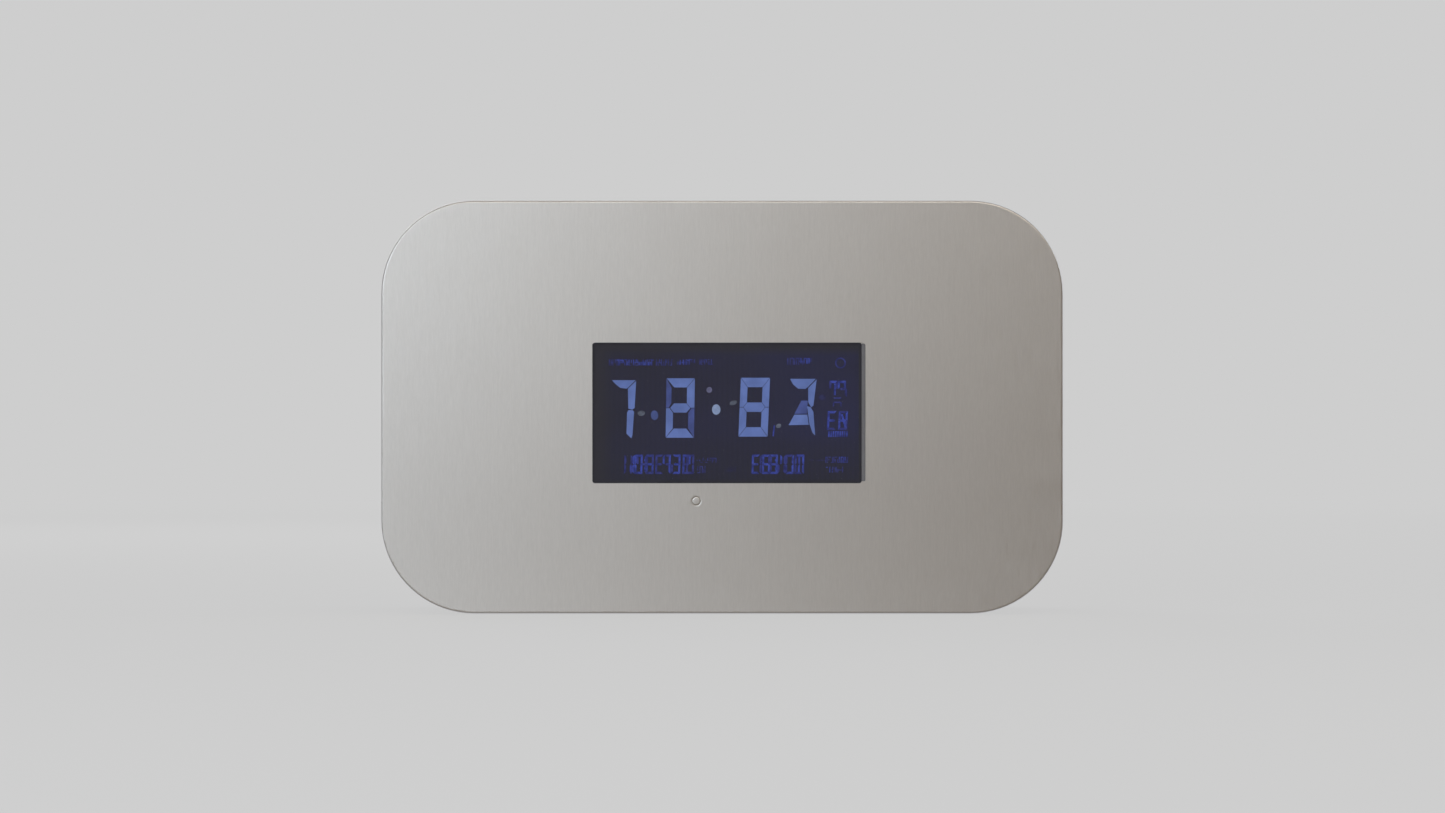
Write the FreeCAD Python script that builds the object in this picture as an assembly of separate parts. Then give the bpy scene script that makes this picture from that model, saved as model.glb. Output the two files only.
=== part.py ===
"""Punch time clock for a wall or a desk, with a flat metal face and a card slot on top.

A brushed metal plate and a liquid crystal display sit on a door that swings on two hinge pins at its left.
Behind the door a sheet-metal mechanism feeds the card down a channel and prints on it through a ribbon.

Row frame: +X to the user's right, +Y from the face to the back, +Z up, millimetres.
The origin is at the middle of the footprint, on the surface that the rubber feet stand on.
"""

import FreeCAD, Part
import math
import os

# ---------------------------------------------------------------- driving dimensions
PLATE_W = 250.0
PLATE_H = 151.4
PLATE_R = 34.0
PLATE_T = 2.0
DEPTH = 92.0
FOOT_GAP = 0.3  # the plate's lower edge clears the surface by this much
OVERHANG = 1.7  # how far the plate stands out past the plastic body
WALL = 2.5
DOOR_REAR_Y = -20.0
SEAM = 0.6

FRONT_Y = -DEPTH / 2
BACK_Y = DEPTH / 2
CENTRE_Z = FOOT_GAP + PLATE_H / 2
COVER_Y = FRONT_Y + PLATE_T
HOUSING_Y = DOOR_REAR_Y + SEAM
BODY_W = PLATE_W - 2 * OVERHANG
BODY_H = PLATE_H - 2 * OVERHANG
BODY_R = PLATE_R - OVERHANG
SIDE_X = BODY_W / 2
BODY_TOP = CENTRE_Z + BODY_H / 2
BODY_BOTTOM = CENTRE_Z - BODY_H / 2
INNER_FRONT_Y = COVER_Y + WALL
INNER_BACK_Y = BACK_Y - WALL
INNER_X = SIDE_X - WALL
GAP = 0.05  # clearance of a running fit

# display window, centred a little right of and below the plate's centre
WINDOW_W = 98.8
WINDOW_H = 51.6
WINDOW_LEDGE = 1.5  # step left open at the window's right
LEDGE_DEPTH = 0.8
WINDOW_X = 1.75
WINDOW_Z = CENTRE_Z - 2.15
LENS_T = 1.5
LENS_CLEAR = 0.1
LCD_T = 2.2
BOARD_T = 1.6
DISPLAY_BOARD_Y = -36.9
DISPLAY_BOARD_W = 114.0
DISPLAY_BOARD_Z = (36.5, WINDOW_Z + 29.0)

# front set button
BUTTON_X = -9.5
BUTTON_Z = CENTRE_Z - 34.5
BUTTON_R = 1.55
BUTTON_TRAVEL = 0.4

# door hinge
HINGE_R = 6.0
HINGE_X = -SIDE_X + HINGE_R
HINGE_Y = DOOR_REAR_Y - HINGE_R
BARREL_HALF = 40.0
EAR_START = 40.6
EAR_END = 47.0
EAR_R = 3.2
PIN_R = 1.6

# cover lock on the right wall
LOCK_Y = -6.0
LOCK_Z = CENTRE_Z
LOCK_R = 6.0
CAM_X = (101.0, 103.2)
CAM_LENGTH = 22.0
CAM_HALF_W = 4.5

# card channel
CARD_SLOT_W = 93.0
CARD_GAP = 5.0
CARD_Y = 12.0
SHEET = 1.0
CHANNEL_Z = (8.0, 139.0)
CHANNEL_FRONT_Y = CARD_Y - CARD_GAP / 2
CHANNEL_REAR_Y = CARD_Y + CARD_GAP / 2
PRINT_Z = 118.0
SLOT_MOUTH_GAP = 12.0

# sheet-metal side frames
FRAME_X = 58.5
FRAME_T = 1.5
FRAME_Y = (-18.0, 27.5)
FRAME_Z = (14.0, 132.0)
POST_X = 67.0
POST_ZS = (22.0, 122.0)
POST_R = 4.0

# card feed
FEED_Y = 19.15
FEED_Z = 60.0
FEED_SHAFT_R = 3.0
FEED_ROLLER_R = 7.0
ROLLER_X = 25.0
BUSH_R = 5.0
PINCH_ROLLER_R = 5.0
PINCH_Y = 6.85
PINCH_SHAFT_R = 1.5
PIVOT_Y = -4.0
PIVOT_Z = 78.0
PIVOT_R = 1.5
PINCH_EAR_X = 33.0
SPRING_X = 20.0
SPRING_Z = 70.0
SPRING_BAR_Y = (-17.0, -15.8)

# gear train, from the feed motor's pinion through an idler to the feed shaft
GEAR_MODULE = 0.7
PINION_TEETH = 16
IDLER_TEETH = 28
FEED_TEETH = 40
GEAR_X = (-68.0, -63.0)
MOTOR_Y = -5.0
MOTOR_Z = 36.0
MOTOR_R = 12.5
STUD_R = 2.0

# print carriage
ROD_R = 3.0
ROD_Y = -8.0
ROD_Z = 104.0
TOP_ROD_R = 2.0
TOP_ROD_Y = -12.0
TOP_ROD_Z = 122.0
CARRIAGE_HALF = 13.0
PULLEY_X = 44.0
PULLEY_Z = 90.0
PULLEY_R = 4.5
BELT_T = 1.0
BELT_Y = (-12.5, -8.5)
BEAM_Y = (-6.5, -5.3)
BEAM_Z = (86.2, 98.0)

# ribbon cassette
CASSETTE_HALF = 62.0
CASSETTE_Y = (-31.0, 2.5)
CASSETTE_Z = (132.0, 146.0)
RIBBON_Y = 8.1
RIBBON_Z = (112.0, 124.0)
HORN_X = (50.0, 56.0)
KNOB_X = 38.0
KNOB_Z = 139.0

# card sensor lever
LEVER_Y = 21.0
LEVER_Z = 92.0
LEVER_X = (29.5, 31.5)

# electronics
MAIN_BOARD_Y = 38.5
MAIN_BOARD_X = 60.0
MAIN_BOARD_Z = (24.0, 128.0)
BOARD_SCREW_X = 54.0
BOARD_SCREW_ZS = (30.0, 122.0)
JACK_Y = 33.0
JACK_Z = 44.0
SCREW_R = 1.4
SCREW_HEAD_R = 3.0

# battery bay behind a hinged cover in the back wall
BAY_X = (78.0, 112.0)
BAY_Z = (40.0, 92.0)
COVER_T = 2.2
COVER_CLEAR = 0.3
CELL_R = 5.2
CELL_LENGTH = 44.5
CELL_PITCH = 10.8
TRUNNION_R = 0.8
TRUNNION_REACH = 1.5

# setting keys inside the door
KEY_PANEL_X = (60.0, 92.0)
KEY_PANEL_Y = (-16.0, -14.5)
KEY_PANEL_Z = (62.0, 128.0)
KEY_X = 77.0
KEY_ZS = (75.0, 95.0, 115.0)
KEY_NAMES = ("key_mode", "key_adjust", "key_enter")
KEY_HALF = 5.0
KEY_BOARD_Y = -11.5

# flat cable from the display to the main board
CABLE_T = 0.3
CABLE_Z = (70.0, 82.0)
CABLE_TURN_X = -109.0
CABLE_FRONT_Y = -33.6
CABLE_REAR_Y = 36.3
CABLE_BEND_R = 5.0

# wall fixing
KEYHOLE_X = 88.0
KEYHOLE_Z = 108.0
KEYHOLE_R = 4.25
KEYHOLE_RISE = 10.0
WALL_SCREW_R = 2.25
WALL_SCREW_Z = 24.0
FOOT_X = 80.0
FOOT_YS = (-10.0, 34.0)
FOOT_R = 6.5


# ---------------------------------------------------------------- shape helpers
def box(x, y, z):
    """A block between the low and high value given on each axis."""
    corner = FreeCAD.Vector(x[0], y[0], z[0])
    return Part.makeBox(x[1] - x[0], y[1] - y[0], z[1] - z[0], corner)


def rod_x(radius, x, y, z):
    """A cylinder along X, between two x values."""
    return Part.makeCylinder(radius, x[1] - x[0], FreeCAD.Vector(x[0], y, z), FreeCAD.Vector(1, 0, 0))


def rod_y(radius, y, x, z):
    """A cylinder along Y, between two y values."""
    return Part.makeCylinder(radius, y[1] - y[0], FreeCAD.Vector(x, y[0], z), FreeCAD.Vector(0, 1, 0))


def rod_z(radius, z, x, y):
    """A cylinder along Z, between two z values."""
    return Part.makeCylinder(radius, z[1] - z[0], FreeCAD.Vector(x, y, z[0]), FreeCAD.Vector(0, 0, 1))


def span(middle, width):
    """The low and high value of a width about its middle."""
    return (middle - width / 2, middle + width / 2)


def mirror_x(shape):
    """The same shape on the other side of the middle plane."""
    return shape.mirror(FreeCAD.Vector(0, 0, 0), FreeCAD.Vector(1, 0, 0))


def both_sides(shape):
    """A shape and its mirror image."""
    return [shape, mirror_x(shape)]


def rounded_block(width, height, radius, y, x=0.0, z=CENTRE_Z):
    """A block seen from the front as a rectangle with rounded corners."""
    block = box(span(x, width), y, span(z, height))
    along_y = [e for e in block.Edges if abs(e.Vertexes[0].Y - e.Vertexes[1].Y) > 1e-6]
    return block.makeFillet(radius, along_y)


def edges_on_plane(shape, y):
    """The edges that lie in the plane at this y."""
    return [e for e in shape.Edges if all(abs(v.Y - y) < 1e-6 for v in e.Vertexes)]


def link_plate(x, a, b, radius_a, radius_b):
    """A flat link across X between two round ends, at the (y, z) points a and b."""
    reach = math.dist(a, b)
    heading = math.atan2(b[1] - a[1], b[0] - a[0])
    lean = math.acos((radius_a - radius_b) / reach)
    corners = []
    for centre, radius, angle in (
        (a, radius_a, heading + lean),
        (b, radius_b, heading + lean),
        (b, radius_b, heading - lean),
        (a, radius_a, heading - lean),
    ):
        y = centre[0] + radius * math.cos(angle)
        z = centre[1] + radius * math.sin(angle)
        corners.append(FreeCAD.Vector(x[0], y, z))
    strap = Part.Face(Part.makePolygon(corners + corners[:1]))
    strap = strap.extrude(FreeCAD.Vector(x[1] - x[0], 0, 0))
    return strap.fuse([rod_x(radius_a, x, *a), rod_x(radius_b, x, *b)]).removeSplitter()


def coil_spring(coil_r, wire_r, turns, y, x, z):
    """A helical spring along Y between two y values."""
    length = y[1] - y[0] - 2 * wire_r
    helix = Part.makeHelix(length / turns, length, coil_r)
    start = FreeCAD.Vector(coil_r, 0, 0)
    section = Part.Wire(Part.makeCircle(wire_r, start, FreeCAD.Vector(0, 1, 0)))
    spring = Part.Wire(helix.Edges).makePipeShell([section], True, True)
    spring.rotate(FreeCAD.Vector(0, 0, 0), FreeCAD.Vector(1, 0, 0), -90)
    spring.translate(FreeCAD.Vector(x, y[0] + wire_r, z))
    return spring


# ---------------------------------------------------------------- gears
def gear_radius(teeth):
    return GEAR_MODULE * teeth / 2


def idler_centre():
    """Where the idler meshes with both the pinion and the feed gear."""
    near = gear_radius(PINION_TEETH) + gear_radius(IDLER_TEETH)
    far = gear_radius(FEED_TEETH) + gear_radius(IDLER_TEETH)
    dy = FEED_Y - MOTOR_Y
    dz = FEED_Z - MOTOR_Z
    apart = math.hypot(dy, dz)
    along = (near**2 - far**2 + apart**2) / (2 * apart)
    aside = math.sqrt(near**2 - along**2)
    uy, uz = dy / apart, dz / apart
    return (MOTOR_Y + along * uy + aside * uz, MOTOR_Z + along * uz - aside * uy)


def meshing_phase(centre_a, teeth_a, phase_a, centre_b, teeth_b):
    """The phase that puts a gap of gear b where gear a has a tooth."""
    heading = math.atan2(centre_b[1] - centre_a[1], centre_b[0] - centre_a[0])
    share = (heading - phase_a) / (2 * math.pi / teeth_a)
    return heading + math.pi - (2 * math.pi / teeth_b) * (0.5 - share)


def gear(teeth, phase, x, centre, bore_r):
    """An involute spur gear across X, each flank an arc through three points of its involute."""
    pressure = math.radians(20)
    backlash = 0.16
    pitch_r = gear_radius(teeth)
    base_r = pitch_r * math.cos(pressure)
    tip_r = pitch_r + 0.9 * GEAR_MODULE
    root_r = pitch_r - 1.25 * GEAR_MODULE
    half_tooth = math.pi / (2 * teeth) - backlash / (2 * pitch_r)

    def half_angle(radius):
        roll = math.acos(min(1.0, base_r / radius))
        return half_tooth + (math.tan(pressure) - pressure) - (math.tan(roll) - roll)

    def point(radius, angle):
        return FreeCAD.Vector(x[0], centre[0] + radius * math.cos(angle), centre[1] + radius * math.sin(angle))

    def arc(first, middle, last):
        return Part.Arc(first, middle, last).toShape()

    middle_r = (base_r + tip_r) / 2
    at_base, at_middle, at_tip = (half_angle(r) for r in (base_r, middle_r, tip_r))
    pitch_angle = 2 * math.pi / teeth
    edges = []
    for k in range(teeth):
        a = phase + k * pitch_angle
        following = a + pitch_angle
        rise = [point(base_r, a - at_base), point(middle_r, a - at_middle), point(tip_r, a - at_tip)]
        fall = [point(tip_r, a + at_tip), point(middle_r, a + at_middle), point(base_r, a + at_base)]
        edges.append(Part.makeLine(point(root_r, a - at_base), rise[0]))
        edges.append(arc(*rise))
        edges.append(arc(rise[2], point(tip_r, a), fall[0]))
        edges.append(arc(*fall))
        edges.append(Part.makeLine(fall[2], point(root_r, a + at_base)))
        valley = point(root_r, a + pitch_angle / 2)
        edges.append(arc(point(root_r, a + at_base), valley, point(root_r, following - at_base)))
    blank = Part.Face(Part.Wire(edges)).extrude(FreeCAD.Vector(x[1] - x[0], 0, 0))
    return blank.cut(rod_x(bore_r, x, *centre))


# ---------------------------------------------------------------- door
def front_plate():
    """Brushed metal face with the display window, its ledge and the button hole."""
    y = (FRONT_Y, COVER_Y)
    edge = 0.7
    corner_r = 1.0
    ledge_r = 1.6
    recess_r = 2.3
    recess = 0.45
    plate = rounded_block(PLATE_W, PLATE_H, PLATE_R, y)
    plate = plate.makeFillet(edge, edges_on_plane(plate, FRONT_Y))
    plate = plate.cut(rounded_block(WINDOW_W, WINDOW_H, corner_r, y, WINDOW_X, WINDOW_Z))
    ledge_y = (FRONT_Y, FRONT_Y + LEDGE_DEPTH)
    ledge_x = WINDOW_X + WINDOW_LEDGE / 2
    plate = plate.cut(rounded_block(WINDOW_W + WINDOW_LEDGE, WINDOW_H, ledge_r, ledge_y, ledge_x, WINDOW_Z))
    plate = plate.cut(rod_y(recess_r, (FRONT_Y, FRONT_Y + recess), BUTTON_X, BUTTON_Z))
    return plate.cut(rod_y(BUTTON_R + 0.2, y, BUTTON_X, BUTTON_Z))


def hinge_barrel():
    """The full-length barrel on the door's left edge, bored for a pin at each end."""
    z = (CENTRE_Z - BARREL_HALF, CENTRE_Z + BARREL_HALF)
    bore_depth = 8.0
    barrel = rod_z(HINGE_R, z, HINGE_X, HINGE_Y)
    for bore_z in ((z[0], z[0] + bore_depth), (z[1] - bore_depth, z[1])):
        barrel = barrel.cut(rod_z(PIN_R + GAP, bore_z, HINGE_X, HINGE_Y))
    return barrel


def rounded_rear_edge():
    """What is cut off the door's left rear edge so that it turns about the hinge."""
    z = (BODY_BOTTOM - 1, BODY_TOP + 1)
    corner = box((-SIDE_X - 1, HINGE_X), (HINGE_Y, DOOR_REAR_Y + 1), z)
    return corner.cut(rod_z(HINGE_R, z, HINGE_X, HINGE_Y))


def ear_spans():
    """The heights of the two hinge ears, with the clearance that the door leaves them."""
    clear = 0.4
    top = (CENTRE_Z + EAR_START - clear, CENTRE_Z + EAR_END + clear)
    return [top, (2 * CENTRE_Z - top[1], 2 * CENTRE_Z - top[0])]


def door_hook():
    """The arm and cross tab that the lock's cam catches."""
    arm_x = (105.5, 108.5)
    tab_y = (LOCK_Y + CAM_HALF_W + COVER_CLEAR, LOCK_Y + CAM_HALF_W + 2.8)
    z = (LOCK_Z + 10, LOCK_Z + 18)
    arm = box(arm_x, (INNER_FRONT_Y, tab_y[1]), z)
    return arm.fuse(box((99.0, arm_x[1]), tab_y, z))


def front_cover():
    """Plastic door shell, open at the back, that carries the plate and the display."""
    rim = 0.6
    cover = rounded_block(BODY_W, BODY_H, BODY_R, (COVER_Y, DOOR_REAR_Y))
    inner_w, inner_h = BODY_W - 2 * WALL, BODY_H - 2 * WALL
    cover = cover.cut(rounded_block(inner_w, inner_h, BODY_R - WALL, (INNER_FRONT_Y, DOOR_REAR_Y)))
    opening_w, opening_h = WINDOW_W - 2 * rim, WINDOW_H - 2 * rim
    cover = cover.cut(rounded_block(opening_w, opening_h, rim, (COVER_Y, INNER_FRONT_Y), WINDOW_X, WINDOW_Z))
    cover = cover.cut(rod_y(BUTTON_R + 0.1, (COVER_Y, INNER_FRONT_Y), BUTTON_X, BUTTON_Z))
    cover = cover.cut(rounded_rear_edge())
    cover = cover.fuse([hinge_barrel(), door_hook()])
    for z in ear_spans():
        cover = cover.cut(box((-SIDE_X - 1, HINGE_X + 9), (HINGE_Y - 1, DOOR_REAR_Y), z))
    for post in display_posts():
        cover = cover.fuse(post)
    return cover.cut(finger_pull()).removeSplitter()


def display_posts():
    """Short posts behind the window that the display board sits on, and a rib round the light guide."""
    post_r = 3.0
    y = (INNER_FRONT_Y, DISPLAY_BOARD_Y)
    posts = []
    for x in (WINDOW_X - 53.2, WINDOW_X + 53.2):
        for z in (WINDOW_Z - 25, WINDOW_Z + 25):
            posts.append(rod_y(post_r, y, x, z))
    rib_w, rib_h, rib_t = WINDOW_W + 0.4, WINDOW_H + 0.4, 1.5
    rib = rounded_block(rib_w + 2 * rib_t, rib_h + 2 * rib_t, rib_t, y, WINDOW_X, WINDOW_Z)
    hole = box(span(WINDOW_X, rib_w), y, span(WINDOW_Z, rib_h))
    return posts + [rib.cut(hole)]


def finger_pull():
    """A shallow scoop on the door's right edge."""
    scoop_r = 14.0
    depth = 1.2
    return rod_z(scoop_r, span(CENTRE_Z, 26.0), SIDE_X - depth + scoop_r, DOOR_REAR_Y)


def window_lens():
    """Clear acrylic window, set against the left of the opening."""
    y = (COVER_Y - LENS_T, COVER_Y)
    width, height = WINDOW_W - 2 * LENS_CLEAR, WINDOW_H - 2 * LENS_CLEAR
    return rounded_block(width, height, 0.9, y, WINDOW_X, WINDOW_Z)


def lcd_glass():
    """Liquid crystal cell, right behind the window."""
    front = COVER_Y + 0.1
    return box(span(WINDOW_X, WINDOW_W - 1.6), (front, front + LCD_T), span(WINDOW_Z, WINDOW_H - 1.6))


def light_guide():
    """Backlight plate behind the cell, shorter than the cell where its contact strips run."""
    y = (COVER_Y + 0.1 + LCD_T, DISPLAY_BOARD_Y)
    return box(span(WINDOW_X, WINDOW_W - 3), y, span(WINDOW_Z, WINDOW_H - 6.6))


def display_board():
    """Circuit board behind the display, reaching down to the button's switch."""
    y = (DISPLAY_BOARD_Y, DISPLAY_BOARD_Y + BOARD_T)
    board = box(span(WINDOW_X, DISPLAY_BOARD_W), y, DISPLAY_BOARD_Z)
    for x in (WINDOW_X - 53.2, WINDOW_X + 53.2):
        for z in (WINDOW_Z - 25, WINDOW_Z + 25):
            board = board.cut(rod_y(SCREW_R, y, x, z))
    return board


def contact_strips():
    """Rubber strips that join the cell's edges to the board."""
    y = (COVER_Y + 0.1 + LCD_T, DISPLAY_BOARD_Y)
    strips = []
    for z in (WINDOW_Z - 23.9, WINDOW_Z + 23.9):
        strips.append(box(span(WINDOW_X, 88.0), y, span(z, 1.8)))
    return strips


def display_parts():
    """Driver chip, cable connector and push switch on the display board."""
    back = DISPLAY_BOARD_Y + BOARD_T
    chip = box(span(WINDOW_X + 14, 14.0), (back, back + 1.5), span(WINDOW_Z, 14.0))
    connector = box((-52.0, -45.0), (back, back + 3.4), (69.0, 83.0))
    switch = box(span(BUTTON_X, 6.0), (DISPLAY_BOARD_Y - 2.6, DISPLAY_BOARD_Y), span(BUTTON_Z, 6.0))
    plunger = rod_y(1.7, (DISPLAY_BOARD_Y - 3.2, DISPLAY_BOARD_Y - 2.6), BUTTON_X, BUTTON_Z)
    return [chip, connector, switch.fuse(plunger)]


def set_button():
    """Small domed button in the plate, held by a flange behind the cover."""
    flange_r = 2.6
    apex = FRONT_Y
    shoulder = FRONT_Y + 0.6
    dome_r = ((shoulder - apex) ** 2 + BUTTON_R**2) / (2 * (shoulder - apex))
    flange_y = (INNER_FRONT_Y + 0.1, DISPLAY_BOARD_Y - 3.2 - BUTTON_TRAVEL - 0.1)
    flange = rod_y(flange_r, flange_y, BUTTON_X, BUTTON_Z)
    stem = rod_y(BUTTON_R, (apex, INNER_FRONT_Y + 0.5), BUTTON_X, BUTTON_Z)
    ball = Part.makeSphere(dome_r, FreeCAD.Vector(BUTTON_X, apex + dome_r, BUTTON_Z))
    tip = stem.common(ball.fuse(rod_y(BUTTON_R, (shoulder, INNER_FRONT_Y + 0.5), BUTTON_X, BUTTON_Z)))
    return tip.fuse(flange).removeSplitter()


# ---------------------------------------------------------------- housing
def hinge_ear(z):
    """A goose-necked ear that reaches from the housing into the door and holds a hinge pin."""
    arm_x = (HINGE_X + 0.2, HINGE_X + 9)
    root_y = (HOUSING_Y, HOUSING_Y + 9)
    ear = rod_z(EAR_R, z, HINGE_X, HINGE_Y)
    ear = ear.fuse(box(arm_x, (HINGE_Y - EAR_R, root_y[1]), z))
    ear = ear.fuse(box((-SIDE_X + 1, arm_x[1]), root_y, z))
    return ear.cut(rod_z(PIN_R, z, HINGE_X, HINGE_Y))


def housing_openings():
    """Everything that is cut through the housing's walls."""
    back = (INNER_BACK_Y, BACK_Y)
    cuts = [box(span(0, 98.0), span(CARD_Y, 18.0), (BODY_TOP - WALL, BODY_TOP))]
    for side in (-1, 1):
        x = side * KEYHOLE_X
        cuts.append(rod_y(KEYHOLE_R, back, x, KEYHOLE_Z))
        cuts.append(rod_y(WALL_SCREW_R, back, x, KEYHOLE_Z + KEYHOLE_RISE))
        neck_z = (KEYHOLE_Z, KEYHOLE_Z + KEYHOLE_RISE)
        cuts.append(box(span(x, 2 * WALL_SCREW_R), back, neck_z))
        cuts.append(rod_y(WALL_SCREW_R, back, x, WALL_SCREW_Z))
    cuts.append(rod_x(4.2, (-SIDE_X, -INNER_X), JACK_Y, JACK_Z))
    cuts.append(rod_x(LOCK_R, (INNER_X, SIDE_X), LOCK_Y, LOCK_Z))
    cuts.append(box(BAY_X, back, BAY_Z))
    bore_x = (BAY_X[0] - TRUNNION_REACH, BAY_X[1] + TRUNNION_REACH)
    cuts.append(rod_x(TRUNNION_R + GAP, bore_x, *battery_hinge()))
    cuts.extend(vent_slots(back))
    return cuts


def vent_slots(y):
    """Cooling slots in the back wall, level with the top of the main board."""
    first_z = 100.0
    pitch = 5.0
    return [box(span(0, 64.0), y, span(first_z + i * pitch, 2.2)) for i in range(5)]


def rear_housing():
    """Plastic case, open at the front, that holds the mechanism and the electronics."""
    outer = rounded_block(BODY_W, BODY_H, BODY_R, (HOUSING_Y, BACK_Y))
    outer = outer.makeFillet(3.0, edges_on_plane(outer, BACK_Y))
    inner_w, inner_h = BODY_W - 2 * WALL, BODY_H - 2 * WALL
    housing = outer.cut(rounded_block(inner_w, inner_h, BODY_R - WALL, (HOUSING_Y, INNER_BACK_Y)))
    for z in ((CENTRE_Z + EAR_START, CENTRE_Z + EAR_END), (CENTRE_Z - EAR_END, CENTRE_Z - EAR_START)):
        housing = housing.fuse(hinge_ear(z))
    boss_y = (MAIN_BOARD_Y + BOARD_T, INNER_BACK_Y)
    for x in (-BOARD_SCREW_X, BOARD_SCREW_X):
        for z in BOARD_SCREW_ZS:
            boss = rod_y(3.5, boss_y, x, z)
            housing = housing.fuse(boss.cut(rod_y(SCREW_R, boss_y, x, z)))
    for cut in housing_openings():
        housing = housing.cut(cut)
    return housing.removeSplitter()


def hinge_pins():
    """Steel pins, held in the ears and turning in the door's barrel."""
    top = rod_z(PIN_R, (CENTRE_Z + BARREL_HALF - 7, CENTRE_Z + EAR_END), HINGE_X, HINGE_Y)
    bottom = rod_z(PIN_R, (CENTRE_Z - EAR_END, CENTRE_Z - BARREL_HALF + 7), HINGE_X, HINGE_Y)
    return [top, bottom]


def rubber_feet():
    """Four feet under the housing."""
    feet = []
    for y in FOOT_YS:
        foot = rod_z(FOOT_R, (0, BODY_BOTTOM), FOOT_X, y)
        feet.extend(both_sides(foot.makeFillet(0.6, [e for e in foot.Edges if e.Vertexes[0].Z < 0.1])))
    return feet


def card_slot_bezel():
    """The funnel in the top wall that guides a card into the channel."""
    flange_t = 1.2
    top = BODY_TOP + flange_t
    flange = rounded_block(106.0, flange_t, 0.5, span(CARD_Y, 25.0), 0, BODY_TOP + flange_t / 2)
    body = box(span(0, 97.6), span(CARD_Y, 17.6), (CHANNEL_Z[1], BODY_TOP))
    mouth = rectangle(CARD_SLOT_W + 3, SLOT_MOUTH_GAP, top)
    throat = rectangle(CARD_SLOT_W, CARD_GAP, CHANNEL_Z[1])
    funnel = Part.makeLoft([throat, mouth], True, True)
    return flange.fuse(body).cut(funnel)


def rectangle(width, depth, z):
    """A level rectangle about the card's plane."""
    x, y = width / 2, depth / 2
    corners = [FreeCAD.Vector(px, CARD_Y + py, z) for px, py in ((-x, -y), (x, -y), (x, y), (-x, y))]
    return Part.makePolygon(corners + corners[:1])


# ---------------------------------------------------------------- card channel
def guide_tabs(y):
    """Tabs that tie a guide to the side frames."""
    tabs = []
    for z in ((20.0, 30.0), (96.0, 106.0)):
        tabs.append(box((-FRAME_X, FRAME_X), y, z))
    return tabs


def card_guide_front():
    """Sheet in front of the card, open for the print head, the ribbon and the pinch rollers."""
    y = (CHANNEL_FRONT_Y - SHEET, CHANNEL_FRONT_Y)
    guide = box(span(0, CARD_SLOT_W + 2 * SHEET), y, CHANNEL_Z)
    guide = guide.fuse(guide_tabs(y))
    guide = guide.cut(box(span(0, CARD_SLOT_W - 1), y, span(PRINT_Z, 14.0)))
    for window in both_sides(box((17.5, 38.5), y, span(FEED_Z, 16.0))):
        guide = guide.cut(window)
    return guide.removeSplitter()


def card_guide_rear():
    """Sheet behind the card, open for the platen, the feed rollers and the sensor lever."""
    y = (CHANNEL_REAR_Y, CHANNEL_REAR_Y + SHEET)
    guide = box(span(0, CARD_SLOT_W + 2 * SHEET), y, CHANNEL_Z)
    guide = guide.fuse(guide_tabs(y))
    guide = guide.cut(box(span(0, 90.4), y, span(PRINT_Z, 10.4)))
    for window in both_sides(box(span(ROLLER_X, 14.0), y, span(FEED_Z, 18.0))):
        guide = guide.cut(window)
    slot = box((LEVER_X[0] - 0.6, LEVER_X[1] + 0.6), y, (LEVER_Z - 13, LEVER_Z))
    return guide.cut(slot).removeSplitter()


def card_rails():
    """Side rails and bottom stop that close the channel."""
    y = (CHANNEL_FRONT_Y, CHANNEL_REAR_Y)
    half = CARD_SLOT_W / 2
    stop = box((-half, half), y, (CHANNEL_Z[0], CHANNEL_Z[0] + 3))
    return both_sides(box((half, half + SHEET), y, CHANNEL_Z)) + [stop]


def platen():
    """Bar with a raised face that the print head strikes against."""
    bar = box((-FRAME_X, FRAME_X), (16.5, 24.0), span(PRINT_Z, 8.0))
    return bar.fuse(box(span(0, 90.0), (CHANNEL_REAR_Y, 16.5), span(PRINT_Z, 10.0)))


# ---------------------------------------------------------------- side frames
def frame_blank():
    """The left side frame before its own holes, with two bent tabs for the posts."""
    x = (-FRAME_X - FRAME_T, -FRAME_X)
    frame = box(x, FRAME_Y, FRAME_Z)
    tab_y = (FRAME_Y[1] - FRAME_T, FRAME_Y[1])
    for z in POST_ZS:
        tab = box((-POST_X - 6, x[1]), tab_y, (z - 8, z + 10))
        frame = frame.fuse(tab.cut(rod_y(SCREW_R + 0.3, tab_y, -POST_X, z)))
    frame = frame.cut(rod_x(BUSH_R, x, FEED_Y, FEED_Z))
    frame = frame.cut(rod_x(PIVOT_R, x, PIVOT_Y, PIVOT_Z))
    frame = frame.cut(rod_x(ROD_R, x, ROD_Y, ROD_Z))
    frame = frame.cut(rod_x(TOP_ROD_R, x, TOP_ROD_Y, TOP_ROD_Z))
    for y, z in TIE_ROD_PLACES:
        frame = frame.cut(rod_x(TIE_ROD_R, x, y, z))
    return frame


def frame_left():
    """Left side frame, with the motor's shaft hole and the idler's stud riveted in."""
    x = (-FRAME_X - FRAME_T, -FRAME_X)
    frame = frame_blank().cut(rod_x(3.2, x, MOTOR_Y, MOTOR_Z))
    stud = rod_x(STUD_R, (GEAR_X[0] - 1.2, -FRAME_X), *idler_centre())
    washer = rod_x(STUD_R + 1.6, (-FRAME_X - FRAME_T - 2.8, -FRAME_X), *idler_centre())
    return frame.fuse([stud, washer]).removeSplitter()


def frame_right():
    """Right side frame."""
    return mirror_x(frame_blank()).removeSplitter()


TIE_ROD_R = 2.0
TIE_ROD_PLACES = ((-14.0, 20.0), (24.0, 38.0), (22.0, 128.5))


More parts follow.
